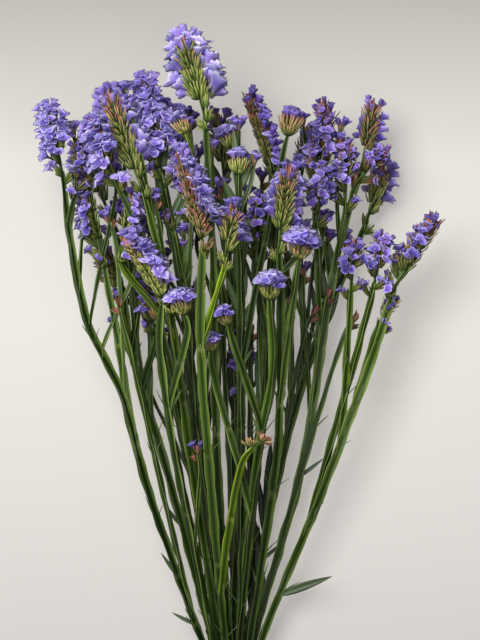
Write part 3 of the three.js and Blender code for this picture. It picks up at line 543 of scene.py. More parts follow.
def reckon(tree, operation, a, b=0.0, clamp=False):
    """One sum of two numbers or sockets, kept between 0 and 1 if clamp is true."""
    node = tree.nodes.new("ShaderNodeMath")
    node.operation = operation
    node.use_clamp = clamp
    for socket, value in zip(node.inputs, (a, b)):
        if isinstance(value, bpy.types.NodeSocket):
            tree.links.new(value, socket)
        else:
            socket.default_value = value
    return node.outputs[0]


def map_range(tree, value, low, high):
    """A straight rise from 0 where the value is low to 1 where it is high, and level outside them."""
    node = tree.nodes.new("ShaderNodeMapRange")
    node.inputs["From Min"].default_value = low
    node.inputs["From Max"].default_value = high
    tree.links.new(value, node.inputs[0])
    return node.outputs[0]


def object_place(tree):
    """The x, y and z of a point of the piece, in metres."""
    coordinates = tree.nodes.new("ShaderNodeTexCoord")
    split = tree.nodes.new("ShaderNodeSeparateXYZ")
    tree.links.new(coordinates.outputs["Object"], split.inputs[0])
    return split.outputs


def noise(tree, scale, stretch=(1, 1, 1), detail=2.0):
    """Noise on object coordinates, stretched by a mapping."""
    coordinates = tree.nodes.new("ShaderNodeTexCoord")
    mapping = tree.nodes.new("ShaderNodeMapping")
    mapping.inputs["Scale"].default_value = stretch
    tree.links.new(coordinates.outputs["Object"], mapping.inputs["Vector"])
    node = tree.nodes.new("ShaderNodeTexNoise")
    node.inputs["Scale"].default_value = scale
    node.inputs["Detail"].default_value = detail
    tree.links.new(mapping.outputs["Vector"], node.inputs["Vector"])
    return node.outputs["Fac"]


# Painted shade: what grows below the first height and within the first distance of the middle is darkest, as
# if shadowed by the bunch above it. In metres.
SHADE_HEIGHTS, SHADE_DISTANCES = (0.012, 0.090), (0.075, 0.120)


def painted_depth_shade(tree, body, lowest):
    """The colour, multiplied by lowest for what grows deep in the bunch, low down and near its middle:
    painted shade.
    """
    x, _, z = object_place(tree)
    aside = map_range(tree, reckon(tree, "ABSOLUTE", x), *SHADE_DISTANCES)
    free = reckon(tree, "ADD", map_range(tree, z, *SHADE_HEIGHTS), aside, True)
    return varied(tree, body, free, lowest, (1.0, 1.0, 1.0))


def bumped(tree, shader, height, strength, distance):
    """Low relief from a socket of heights; distance is in metres."""
    node = tree.nodes.new("ShaderNodeBump")
    node.inputs["Strength"].default_value = strength
    node.inputs["Distance"].default_value = distance
    tree.links.new(height, node.inputs["Height"])
    tree.links.new(node.outputs["Normal"], shader.inputs["Normal"])


# The stems are a mix of a yellow and a blue green, pale at the wings' edges, with fine streaks along them.
# The near black of the hollows between the wings is painted shade.
stem_skin, tree, shader = new_material("winged_stem_skin")
joint, edge, chance, age, _ = tone_channels(tree)
streaks = noise(tree, 260, (4.0, 0.18, 4.0), 3.0)
patches = noise(tree, 22, (1, 0.5, 1), 2.0)
# Painted shade: the first stop, in the hollows between the wings, is near black.
green = colour_ramp(tree, edge, (0.0, (0.010, 0.030, 0.002)), (0.4, (0.050, 0.100, 0.004)),
                    (0.85, (0.120, 0.195, 0.014)), (1.0, (0.24, 0.32, 0.070)))
blue = colour_ramp(tree, edge, (0.0, (0.008, 0.024, 0.005)), (0.4, (0.028, 0.060, 0.012)),
                   (0.85, (0.092, 0.140, 0.048)), (1.0, (0.18, 0.235, 0.11)))
yellow = reckon(tree, "MULTIPLY", patches, 0.8)
yellow = reckon(tree, "ADD", yellow, reckon(tree, "SUBTRACT", age, 0.4), True)
body = blend(tree, yellow, blue, green)
body = varied(tree, body, chance, (0.42, 0.46, 0.40), (1.55, 1.50, 1.35))
body = varied(tree, body, streaks, (0.50, 0.55, 0.45), (1.5, 1.45, 1.4), 0.8)
body = blend(tree, reckon(tree, "MULTIPLY", joint, 0.5, True), body, (0.32, 0.34, 0.12))
# Painted shade for what lies deep in the bunch.
body = painted_depth_shade(tree, body, (0.40, 0.43, 0.38))
fresh = reckon(tree, "MULTIPLY", reckon(tree, "SUBTRACT", age, 0.7, True), 4.0, True)
body = varied(tree, body, fresh, (1.0, 1.0, 1.0), (1.75, 1.6, 1.0))
tree.links.new(body, shader.inputs["Base Color"])
shader.inputs["Specular IOR Level"].default_value = 0.3
shader.inputs["Roughness"].default_value = 0.46
bumped(tree, shader, streaks, 0.35, 0.0004)

# A leaf is paler along its rib and brown at its point.
leaf_skin, tree, shader = new_material("leaf_skin")
reach_along, edge, chance, _, _ = tone_channels(tree)
veins = noise(tree, 200, (3.0, 0.4, 3.0), 2.0)
body = colour_ramp(tree, edge, (0.0, (0.17, 0.28, 0.09)), (0.3, (0.075, 0.16, 0.035)),
                   (1.0, (0.10, 0.20, 0.05)))
body = blend(tree, reckon(tree, "POWER", reach_along, 7.0), body, (0.16, 0.10, 0.04))
body = blend(tree, reckon(tree, "MULTIPLY", chance, 0.45), body, (0.14, 0.21, 0.05))
body = varied(tree, body, chance, (0.55, 0.55, 0.55), (1.0, 1.0, 1.0))
# Painted shade for what lies deep in the bunch.
tree.links.new(painted_depth_shade(tree, body, (0.30, 0.34, 0.28)), shader.inputs["Base Color"])
shader.inputs["Roughness"].default_value = 0.5
bumped(tree, shader, veins, 0.3, 0.0004)

# ------------------------------------------------------------------ scales of the flower heads
# A head is a row of spikelets on a winged axis. Each spikelet is a bundle of narrow green scales with papery
# brown or pink points, which hold a few calyces. In a short head the spikelets fan out from one place.
CUP_STEP, CUP_LENGTH, RANK_ANGLE, RANK_SCATTER = 8.3, 8.0, 36.0, 10.8
FORWARD_LEAN, TIP_LEAN, YOUNGEST = 0.85, 0.9, 0.78
FAN_CUP_LENGTH, FAN_SPREAD, FOOT_GAP = 12.5, 0.45, 3.4


def head_frame(base, tip, facing):
    """Along the head's keel, out of its crest, and across the crest."""
    keel = unit(tip - base)
    right, up = across(keel)
    turn = 0.0 if isinstance(facing, str) else np.radians(facing)
    crest = up * np.cos(turn) + right * np.sin(turn)
    return keel, crest, np.cross(keel, crest)


def head_seed(name):
    """A number from a head's name, the same every time."""
    total = 0
    for letter in name:
        total = total * 3 + ord(letter)
    return total % 997


def spikelets(plant, head):
    """Where each spikelet stands, which way it points, its length and size, how far along the head it is,
    its rank and its seed, as arrays. A spike has two ranks of them, and a fan has them all in one place."""
    base, tip = head_ends(plant, head)
    keel, crest, side = head_frame(base, tip, head.facing)
    seed = head_seed(head.name)
    if head.facing == "fan":
        count = int(np.floor(5 * head.size + 0.5))
        i = np.arange(count)
        sweep = 2 * i / (count - 1) - 1
        deep = np.where(i % 2, 0.34, -0.26) + 0.1 * scatter(seed + i)
        along = unit(keel + side * (FAN_SPREAD * sweep)[:, None] + crest * deep[:, None])
        young = head.size * (1.2 - 0.35 * sweep ** 2)
        length = np.full(count, FAN_CUP_LENGTH * head.size)
        return np.repeat(base[None], count, 0), along, length, young, 0.4 + 0 * sweep, sweep, seed + i
    head_length = np.linalg.norm(tip - base)
    count = int(np.floor(head_length / (CUP_STEP * min(head.size, 1.1)) + 0.5))
    i, k = np.divmod(np.arange(3 * count), 3)
    share = (i + 0.5 + 2 * k / 3) / (count + 0.1)
    i, k, share = (values[share < 1.0] for values in (i, k, share))
    rank = np.where(i % 2, 1.0, -1.0)
    # The lowest two spikelets stand apart, below the others.
    i, k = np.append(i, [50, 51]), np.append(k, [0, 0])
    share = np.append(share, np.array([-6.0, -12.5]) / head_length)
    rank = np.append(rank, [1.0, -1.0] if seed % 2 else [-1.0, 1.0])
    angle = RANK_ANGLE * rank * np.where(share < 0, 1.5, 1.0)
    lean = np.radians(angle + RANK_SCATTER * scatter(seed + 5 * i + k))
    grow = np.maximum(share, 0)
    forward = FORWARD_LEAN + TIP_LEAN * grow ** 3 + 0.14 * scatter(seed + 3 * i + 7 * k)
    along = unit(crest * np.cos(lean)[:, None] + side * np.sin(lean)[:, None] + keel * forward[:, None])
    young = head.size * mix(1, YOUNGEST, grow ** 2) * (1 + 0.07 * scatter(seed + 11 * i + k))
    young = young * np.where(share < 0, 0.85, 1)
    return mix(base, tip, share[:, None]), along, CUP_LENGTH * young, young, share, rank, seed + 9 * i + k


SCALE_ROWS, SCALE_WIDTHS = np.array([0.06, 0.3, 0.62, 0.86]), np.array([0.65, 1.0, 1.0, 0.68])
SCALE_SECTION = [(1, 0.0), (0, 0.26), (-1, 0.0), (0, -0.05)]


def scales(root, along, out, length, width, belly, flare, tone):
    """Pointed scales. The middle line is the root, plus along times the distance, plus out times a belly
    that rises and falls as a sine and a flare that grows as a square; the edges curl back towards the stem.
    tone is an array (scales, 2) of chance and blush; the channels are along, edge, chance and blush."""
    v = SCALE_ROWS
    side = unit(np.cross(along, out))
    lift = belly[:, None] * np.sin(np.pi * v * 0.9) + flare[:, None] * v ** 2
    middle = (root[:, None] + along[:, None] * (v * length[:, None])[..., None]
              + out[:, None] * lift[..., None])
    half = 0.5 * width[:, None] * SCALE_WIDTHS
    rings = np.stack([middle + side[:, None] * (half * q)[..., None]
                      + out[:, None] * (r - 0.45 * half * q * q)[..., None]
                      for q, r in SCALE_SECTION], axis=2)
    tip = root + along * length[:, None] + out * (belly * 0.3 + flare)[:, None]
    points, faces = skins(rings, root, tip)
    values = np.empty(rings.shape[:3] + (4,))
    values[..., 0] = v[None, :, None]
    values[..., 1] = np.abs([q for q, _ in SCALE_SECTION])
    values[..., 2] = tone[:, 0, None, None]
    values[..., 3] = tone[:, 1, None, None]
    ends = np.zeros((len(root), 1, 4))
    ends[:, 0, 2:] = tone
    full = np.concatenate([ends, values.reshape(len(root), -1, 4), ends + [1, 0.6, 0, 0]], axis=1)
    return points, faces, full.reshape(-1, 4), 2


def bundle(at, axis, back, length, size, seed, blush, count, open_out):
    """Scales round each spikelet's axis, the outer ones, towards back, being the shortest."""
    m = np.arange(count)
    n = np.asarray(seed)[:, None] * 17 + m
    turn = 2 * np.pi * (m + 0.25 * scatter(n)) / count
    rear = unit(back - axis * np.sum(back * axis, -1, keepdims=True))
    flank = np.cross(axis, rear)
    out = unit(rear[:, None] * np.cos(turn)[..., None] + flank[:, None] * np.sin(turn)[..., None])
    long = length[:, None] * (0.98 - 0.24 * np.cos(turn) + 0.18 * scatter(n + 5))
    direction = unit(axis[:, None] + out * (open_out + 0.1 * scatter(n + 9))[..., None])
    root = at[:, None] + out * 0.5 * size[:, None, None]
    inner = 0.5 - 0.5 * np.cos(turn)
    red = np.asarray(blush)[:, None] * (0.6 + 0.7 * inner + 0.4 * scatter(n + 4))
    tone = np.stack([0.5 + 0.5 * scatter(n + 3), np.clip(red, 0, 1)], -1)
    wide = np.repeat(size[:, None], count, 1)
    return scales(root.reshape(-1, 3), direction.reshape(-1, 3), out.reshape(-1, 3), long.ravel(),
                  2.3 * wide.ravel(), 0.8 * wide.ravel(),
                  0.4 * wide.ravel() * (0.4 + scatter(n + 7)).ravel(), tone.reshape(-1, 2))


# The rows of scales down a spike's back: how far each is from the keel, and how far its scales lean out.
BACK_ROWS = ((4.4, 0.42), (3.2, 0.40), (2.0, 0.3), (0.8, 0.15))
BUNDLE_SCALES = 9


def spike_scales(plant, head):
    """A bundle of scales round each spikelet, rows of narrow ones down the head's back that point to its
    tip, and a closed point. The scales are redder towards the tip, and longest on the darkest heads."""
    base, tip = head_ends(plant, head)
    keel, crest, side = head_frame(base, tip, head.facing)
    at, along, length, size, share, rank, seed = spikelets(plant, head)
    grow = np.maximum(share, 0)
    red = np.clip(head.blush * ((0.5 if head.blush > 0.9 else 0.22) + 1.2 * grow ** 2.3), 0, 1)
    back = np.broadcast_to(-keel - crest * 0.6, at.shape)
    dark_tall = mix(2.0, 1.5, float(ramp(head.pale, 0.15, 0.5))) + 0.15 * (head.blush > 0.45)
    tall = 1.35 if abs(head.facing) > 90 else dark_tall
    parts = [bundle(at, along, back, length * tall, size, seed, red, BUNDLE_SCALES, 0.2)]
    broad = mix(0.6, 1.15, grow)
    for low, wide in BACK_ROWS:
        n = seed * 3 + 71 + 10 * low
        yaw = (wide + 0.26 * scatter(n)) * rank * broad
        direction = unit(keel + side * yaw[:, None] + crest * (0.1 * scatter(n + 1) - 0.05)[:, None])
        out = unit(side * (0.3 * low * rank)[:, None] - crest)
        tone = np.stack([0.5 + 0.5 * scatter(n + 2), np.clip(red * (0.75 + 0.5 * scatter(n + 3)), 0, 1)], -1)
        root = at - crest * (2.2 - 0.4 * low) + side * (low * rank * broad * size)[:, None]
        parts.append(scales(root, direction, out, (9.4 + 3.2 * scatter(n + 4)) * size,
                            (1.9 + 0.4 * scatter(n + 6)) * size, 0.7 * size,
                            (0.6 + 0.8 * scatter(n + 5)) * size, tone))
    point_red = min(1.0, head.blush * 1.2)
    parts.append(bundle((tip - keel * 3)[None], keel[None], crest[None], np.array([10.0 * head.size]),
                        np.array([0.85 * head.size]), [head_seed(head.name) + 5], [point_red], 6, 0.1))
    return parts


def bud_scales(plant, head):
    """Two closed spikelets, one below the other at the end of a weak shoot."""
    base, tip = head_ends(plant, head)
    keel, crest, side = head_frame(base, tip, "bud")
    number = int(abs(base[0]) + abs(base[1]))
    hand = 1 - 2 * (number % 2)
    at = np.stack([base - keel, base - keel * 6 + side * hand])
    axes = unit(np.stack([keel, keel + side * 0.55 * hand]))
    return bundle(at, axes, np.broadcast_to(-crest, (2, 3)), np.array([9.5, 7.5]) * head.size,
                  np.array([1.05, 0.85]) * head.size, number + np.arange(2), np.full(2, head.blush),
                  BUNDLE_SCALES, 0.2)


# The rings of a fan's cup: scales, their length and width, how far they spread, their belly, and a seed.
FAN_RINGS = [(9, 7.0, 3.2, 0.5, 2.2, 0), (14, 10.0, 2.9, 0.56, 2.3, 5), (17, 13.5, 2.6, 0.5, 2.0, 11),
             (16, 15.0, 2.4, 0.36, 1.2, 17), (8, 15.5, 2.2, 0.18, 0.3, 23)]


def fan_scales(plant, head):
    """Rings of scales that swell out into a cup: short ones outside, and long ones inside. On a young head,
    whose scales are red, the inner ones are longer still."""
    size = head.size
    base, tip = head_ends(plant, head)
    keel, crest, side = head_frame(base, tip, "fan")
    parts = []
    for count, long, wide, spread, belly, shift in FAN_RINGS:
        n = head_seed(head.name) + shift + np.arange(count)
        turn = 2 * np.pi * (np.arange(count) + 0.3 * scatter(n)) / count
        out = unit(side * np.cos(turn)[:, None] + crest * (0.75 * np.sin(turn))[:, None])
        lean = spread * (1 + 0.12 * scatter(n + 2)) * np.hypot(np.cos(turn), 0.72 * np.sin(turn))
        direction = unit(keel + out * lean[:, None])
        long = long + (3.5 if head.blush > 0.6 and long > 13 else 0)
        tone = np.stack([0.5 + 0.5 * scatter(n + 4), np.full(count, min(head.blush, 0.48))], -1)
        root = base + out * 1.4 * size - keel * 1.5
        parts.append(scales(root, direction, out, size * (long + 1.3 * scatter(n + 6)),
                            np.full(count, wide * size), np.full(count, belly * size),
                            0.5 * size * scatter(n + 8), tone))
    return parts


def unopened_scales(base, keel, crest, side, second):
    """Two unopened clusters of three spikelets, the second at the end of a short stalk."""
    at = np.stack([base - side * 1.5 - keel, base - side * 1.5, base - side * 2.5 - keel,
                   second - keel, second + side, second - side])
    axes = unit(np.stack([keel * 0.8 - side * 0.3, keel * 0.7 - side * 0.6 + crest * 0.3, keel * 0.4 - side,
                          keel + crest * 0.3, keel + side * 0.8, keel - side * 0.6 + crest * 0.3]))
    return bundle(at, axes, np.broadcast_to(-crest, (6, 3)), np.array([8.0, 7.5, 7.0, 9.0, 8.5, 8.0]),
                  np.array([1.1, 1.0, 1.0, 1.2, 1.1, 1.1]), np.arange(3, 9),
                  [0.15, 0.4, 0.3, 0.5, 0.6, 0.45], BUNDLE_SCALES, 0.34)


for index, plant in enumerate(PLANTS):
    parts = green_parts[plant.name]
    for head in plant.heads:
        base, tip = head_ends(plant, head)
        keel, crest, side = head_frame(base, tip, head.facing)
        if head.facing == "fan":
            made = fan_scales(plant, head)
        elif head.facing == "bud":
            made = [bud_scales(plant, head)]
        elif head.facing == "buds":
            stalk = np.stack([base - keel * 3, base + keel * 3, base + keel * 9 + side * 1.5])
            parts.append(winged_stem(stalk, even(1.2), even(0.8), 0.3, [], index + 90, plant.age))
            made = [unopened_scales(base, keel, crest, side, stalk[2])]
        else:
            line = np.stack([base - keel * 2, mix(base, tip, 0.4), mix(base, tip, 0.75), tip - keel * 1])
            parts.append(winged_stem(line, even(1.6), even(1.0), 0.3, [], index + 90, plant.age))
            made = spike_scales(plant, head)
        parts += [part + (head.lime,) for part in made]
    shoots = [shoot for owner, shoot, _ in WEAK_SHOOTS if owner == plant.name]
    parts += [bud_scales(plant, shoot) + (shoot.lime,) for shoot in shoots]

# Scales are green, dull on old heads and light on young ones, with a pale margin; their near black bases are
# painted shade where they overlap. Their points flush pink, or a dark red on old heads.
scale_skin, tree, shader = new_material("papery_scale_skin")
reach_along, edge, chance, blush, lime = tone_channels(tree)
ribs = noise(tree, 500, (2.0, 0.5, 2.0), 2.0)
# Painted shade: the first stops, at the scales' bases, are near black.
dull = colour_ramp(tree, reach_along, (0.0, (0.008, 0.020, 0.003)), (0.3, (0.040, 0.075, 0.008)),
                   (0.6, (0.100, 0.150, 0.020)), (0.88, (0.16, 0.18, 0.040)), (1.0, (0.16, 0.11, 0.045)))
light = colour_ramp(tree, reach_along, (0.0, (0.020, 0.050, 0.005)), (0.3, (0.10, 0.19, 0.016)),
                    (0.6, (0.26, 0.38, 0.050)), (0.9, (0.44, 0.52, 0.14)), (1.0, (0.44, 0.36, 0.16)))
body = blend(tree, lime, dull, light)
pink = blend(tree, chance, (0.50, 0.13, 0.11), (0.76, 0.33, 0.27))
dark_red = blend(tree, chance, (0.16, 0.04, 0.035), (0.42, 0.13, 0.10))
pink = blend(tree, reckon(tree, "MULTIPLY", reckon(tree, "SUBTRACT", 1.0, lime), 1.3, True), pink, dark_red)
near_point = reckon(tree, "POWER", reach_along, 1.8)
flush = reckon(tree, "MULTIPLY", near_point, reckon(tree, "MULTIPLY", blush, 2.2))
flush = reckon(tree, "ADD", flush, reckon(tree, "SUBTRACT", blush, 0.5, True), True)
body = blend(tree, flush, body, pink)
margin = reckon(tree, "MULTIPLY", reckon(tree, "POWER", edge, 3.0), 0.35)
body = blend(tree, margin, body, (0.40, 0.42, 0.18))
body = varied(tree, body, chance, (0.55, 0.58, 0.55), (1.3, 1.25, 1.2))
body = varied(tree, body, ribs, (0.6, 0.6, 0.6), (1.35, 1.35, 1.3), 0.4)
# Painted shade for what lies deep in the bunch.
tree.links.new(painted_depth_shade(tree, body, (0.40, 0.38, 0.38)), shader.inputs["Base Color"])
shader.inputs["Roughness"].default_value = 0.52
bumped(tree, shader, ribs, 0.3, 0.0003)

# ------------------------------------------------------------------ papery calyces
# The violet of statice is its calyx: a thin tube that opens into a pleated papery funnel with a ruffled rim.
# Each spikelet holds a few, which press on one another. The youngest, at a head's tip, are still rolled.
CALYX_SIDES = 20
CALYX_RADIUS = np.array([0.7, 1.15, 2.6, 4.3, 5.4, 3.5])
CALYX_HEIGHT = np.array([0.0, 2.6, 5.0, 6.9, 8.1, 6.3])
CALYX_LIMB = np.array([0.0, 0.0, 0.35, 0.8, 1.0, 0.7])  # how far a ring is part of the ruffled funnel
# Where each ring stands on the colour ramp; the inside ring and the throat point stand low, so they are
# darker: painted shade.
CALYX_ALONG = np.array([0.0, 0.3, 0.55, 0.8, 1.0, 0.7])
ROLLED = 0.12  # how open a calyx is that hasn't unrolled yet
FINE_RIBS, PALEST = 30, 0.72


def calyx_skins(foot, axis, size, open_out, seed, pale):
    """Rings round each calyx's axis, at fixed radii and heights: five outside, from foot to rim, and one
    inside. The radius has five lobes, finer pleats and a squeeze; the height has ruffles. tone is along,
    pleat, chance and pale. The uv, which comes with it, goes once round and once along."""
    turn = 2 * np.pi * np.arange(CALYX_SIDES) / CALYX_SIDES
    n = np.asarray(seed)[:, None, None] * 13
    limb = CALYX_LIMB[None, :, None]
    lobes = 0.12 * np.cos(5 * turn + 3 * scatter(n)) + 0.035 * np.cos(9 * turn + 3 * scatter(n + 1))
    squeeze = 0.26 * np.cos(2 * turn + 3 * scatter(n + 2)) + 0.12 * np.cos(3 * turn + 3 * scatter(n + 3))
    wide = mix(0.28, 1.0, open_out)[:, None, None]
    radius = CALYX_RADIUS[None, :, None] * (1 + limb * (lobes + squeeze)) * mix(1, wide, limb)
    ruffle = 0.4 * np.cos(10 * turn + 3 * scatter(n + 4)) + 0.6 * np.cos(4 * turn + 3 * scatter(n + 5))
    height = CALYX_HEIGHT[None, :, None] + limb * ruffle * wide + limb * (1 - wide) * 1.6
    right, up = across(axis)
    s = size[:, None, None, None]
    rings = (foot[:, None, None] + axis[:, None, None] * height[..., None] * s
             + right[:, None, None] * (radius * np.cos(turn))[..., None] * s
             + up[:, None, None] * (radius * np.sin(turn))[..., None] * s)
    points, faces = skins(rings, foot - axis * size[:, None] * 0.6, foot + axis * size[:, None] * 3.6)
    tone = np.empty(rings.shape[:3] + (4,))
    tone[..., 0] = CALYX_ALONG[None, :, None] * mix(0.7, 1.0, open_out)[:, None, None]
    tone[..., 1] = 0.5 + 0.5 * np.cos(5 * turn + 3 * scatter(n))
    tone[..., 2] = 0.5 + 0.5 * scatter(n + 6)
    tone[..., 3] = pale[:, None, None]
    ends = np.stack([0 * pale, 0 * pale, 0.5 + 0.5 * scatter(n[:, 0, 0] + 6), pale], -1)[:, None]
    full = np.concatenate([ends, tone.reshape(len(foot), -1, 4), ends + [0.3, 0, 0, 0]], axis=1)
    # Where a face closes the round, its zero is read as one.
    around = np.concatenate([[0.5], np.tile(np.arange(CALYX_SIDES) / CALYX_SIDES, len(CALYX_RADIUS)), [0.5]])
    upward = np.concatenate([[0.0], np.repeat(CALYX_ALONG, CALYX_SIDES), [0.3]])
    corner = np.stack([around, upward], -1)[faces % len(around)]
    wraps = (corner[..., 0].max(1) - corner[..., 0].min(1)) > 0.6
    corner[..., 0] += wraps[:, None] & (corner[..., 0] < 0.25)
    return (points, faces, full.reshape(-1, 4), 0), corner.reshape(-1, 2)


def cluster(place, axis, count, spread, lean, scale, opened, shut, number):
    """The calyces of each place, set round its axis: foot, axis, size, how open and seed. Those whose chance
    is above shut are still rolled."""
    right, up = across(axis)
    rows = []
    for m in range(count):
        n = number * 11 + m
        turn = 2 * np.pi * (m + 0.5 + 0.3 * scatter(n)) / count
        out = right * np.cos(turn)[:, None] + up * np.sin(turn)[:, None]
        direction = unit(axis + out * (lean * (1 + 0.3 * scatter(n + 3)))[:, None])
        opens = np.clip(opened + 0.2 * scatter(n + 1), ROLLED, 1)
        rows.append((place + out * (spread * scale)[:, None], direction,
                     scale * (0.95 + 0.12 * scatter(n + 2)),
                     np.where(scatter(n + 5) > shut, ROLLED, opens), n))
    return rows


def fan_calyces(head, base, keel, at, along, length, size, seed, shut):
    """Young fans, light or red ones, have small caps of half closed calyces. Those of others spill over."""
    young = head.lime > 0.9 or head.blush > 0.6
    foot = at + along * (length - ((0.6 if young else 3.0) + 1.2 * scatter(seed)) * size)[:, None]
    foot = mix(foot, base + keel * length[:, None], 0.25 if young else 0.05)
    opened = 0.3 + 0.5 * head.pale - 0.15 * (head.blush > 0.6) if young else 0.75 + 0.3 * head.pale
    return cluster(foot, unit(along + keel * (0.7 if young else 0.3)), 4, 1.8, 0.14 if young else 0.3,
                   size * (0.84 if young else 1.02), np.full(len(at), opened), shut, seed)


def head_calyces(plant, head):
    """Every calyx of a head: foot, axis, size, how open it is, its seed and how pale it is. The darker a
    head is, the more of its calyces are still rolled, and the paler, the larger and the more they are."""
    base, tip = head_ends(plant, head)
    keel, crest, _ = head_frame(base, tip, head.facing)
    at, along, length, size, share, _, seed = spikelets(plant, head)
    pale = head.pale
    shut = min(1.6 * pale - 0.25, 0.8)
    if head.facing == "fan":
        rows = fan_calyces(head, base, keel, at, along, length, size, seed, shut)
    else:
        turned = abs(head.facing) > 90
        full = (1.04 if turned else 0.90) * (1 + 0.55 * max(min(pale, 0.76) - 0.35, 0))
        each = 2 + (pale > 0.45) + (pale > 0.8)
        opened = 1.0 - 0.8 * np.abs(share) ** 5
        foot = at + along * (length + (FOOT_GAP - 0.9) * size)[:, None]
        some = share > (0.08 if turned else -1)
        rows = cluster(foot[some], unit(along[some] + keel * 0.4), each, 1.9 + 0.3 * (each > 3), 0.34,
                       size[some] * full, opened[some], shut, seed[some])
        # A head that faces up also has a row of them along its crest.
        if abs(head.facing) <= 45 and plant.row != 0:
            inner = np.broadcast_to(unit(crest + keel * FORWARD_LEAN), at[::3].shape)
            foot = at[::3] + inner * (length[::3] + 2.2)[:, None]
            rows += cluster(foot, inner, 1, 0.6, 0.25, size[::3] * 0.8, opened[::3], shut, seed[::3] + 50)
        # The last ones, at the head's tip, are still rolled up.
        rows += cluster((tip - keel * 2.5)[None], keel[None], 3, 1.3, 0.3, np.array([0.8 * head.size]),
                        np.array([0.06]), shut, np.array([head_seed(head.name)]))
    feet, axes, sizes, opens, seeds = (np.concatenate(column) for column in zip(*rows))
    return feet, axes, sizes, opens, seeds, np.clip(pale + 0.18 * scatter(seeds + 8), 0, PALEST)


def shoot_calyces(plant, shoot, count):
    """The few small calyces round the end of a weak shoot, some open and some nearly rolled."""
    base, tip = head_ends(plant, shoot)
    keel, crest, side = head_frame(base, tip, "bud")
    n = int(abs(base[0]) + abs(base[1])) * 3 + np.arange(count)
    turn = 2 * np.pi * (n + 0.3 * scatter(n)) / count
    spread = np.cos(turn)[:, None] * side + np.sin(turn)[:, None] * crest
    foot = base + keel * (3.5 + 2.5 * scatter(n + 4))[:, None] + spread * (0.9 + 0.22 * count)
    part, _ = calyx_skins(foot, unit(keel + 0.4 * spread), 0.82 + 0.12 * scatter(n + 1),
                          np.clip(0.45 + 0.5 * scatter(n + 2), ROLLED, 1), n, 0.25 + 0.2 * scatter(n + 3))
    return part[:3] + (3,)


def small_petals(feet, axes, sizes):
    """The true flower in the throat of a calyx: five small pale petals that lean out round its axis."""
    right, up = across(axes)
    turn = 2 * np.pi * np.arange(5) / 5
    out = right[:, None] * np.cos(turn)[None, :, None] + up[:, None] * np.sin(turn)[None, :, None]
    root = np.repeat(feet[:, None] + axes[:, None] * (5.2 * sizes)[:, None, None], 5, 1).reshape(-1, 3)
    way = unit(axes[:, None] * 0.8 + out)
    face = unit(np.cross(way, np.cross(axes[:, None], out)))
    count = len(root)
    points, faces, tone, _ = scales(root, way.reshape(-1, 3), face.reshape(-1, 3), np.repeat(2.6 * sizes, 5),
                                    np.repeat(1.9 * sizes, 5), np.full(count, 0.1), np.full(count, 0.2),
                                    np.full((count, 2), 0.5))
    return points, faces, tone, 1


FLOOR_GAP = 0.05  # no point of a piece is lower than this


def make_piece(name, parts, materials, uv=None):
    """One mesh from parts of (points in mm, faces, tones, which material, and a mood, 0 if left out). For
    scales the mood is how light their head's cups are."""
    counts = np.cumsum([0] + [len(part[0]) for part in parts])
    points = np.concatenate([part[0] for part in parts]) + BAND_PLACE
    points[:, 2] = np.maximum(points[:, 2], FLOOR_GAP)
    faces = np.concatenate([part[1] + start for part, start in zip(parts, counts)]).astype(np.int32)
    which = np.concatenate([np.full(len(part[1]), part[3]) for part in parts]).astype(np.int32)
    tones = np.concatenate([part[2] for part in parts])
    moods = np.concatenate([np.full(len(part[0]), (*part, 0.0)[4], np.float32) for part in parts])
    mesh = bpy.data.meshes.new(name)
    mesh.vertices.add(len(points))
    mesh.vertices.foreach_set("co", (points * MM).ravel())
    mesh.loops.add(faces.size)
    mesh.loops.foreach_set("vertex_index", faces.ravel())
    mesh.polygons.add(len(faces))
    mesh.polygons.foreach_set("loop_start", np.arange(0, faces.size, 3, dtype=np.int32))
    mesh.polygons.foreach_set("material_index", which)
    mesh.polygons.foreach_set("use_smooth", np.ones(len(faces), bool))
    for material in materials:
        mesh.materials.append(material)
    mesh.update(calc_edges=True)
    tone = mesh.attributes.new("tone", "FLOAT_COLOR", "POINT")
    tone.data.foreach_set("color", tones.astype(np.float32).ravel())
    mood = mesh.attributes.new("mood", "FLOAT", "POINT")
    mood.data.foreach_set("value", moods)
    if uv is not None:
        mesh.uv_layers.new(name="UVMap").data.foreach_set("uv", uv.astype(np.float32).ravel())
    piece = bpy.data.objects.new(name, mesh)
    bpy.context.scene.collection.objects.link(piece)
    return piece


# A calyx is violet, with fine ribs, and no two are quite alike. Its dark throat and inside are painted
# shade, and its pale rim is partly its own colour and partly a painted highlight.
calyx_skin, tree, shader = new_material("papery_calyx_skin")
reach_along, pleat, chance, pale, _ = tone_channels(tree)
uv_map = tree.nodes.new("ShaderNodeUVMap")
uv_map.uv_map = "UVMap"
split = tree.nodes.new("ShaderNodeSeparateXYZ")
tree.links.new(uv_map.outputs["UV"], split.inputs[0])
ribs = reckon(tree, "SINE", reckon(tree, "MULTIPLY", split.outputs[0], 2 * np.pi * FINE_RIBS))
ribs = reckon(tree, "MULTIPLY_ADD", ribs, 0.5)
ribs.node.inputs[2].default_value = 0.5
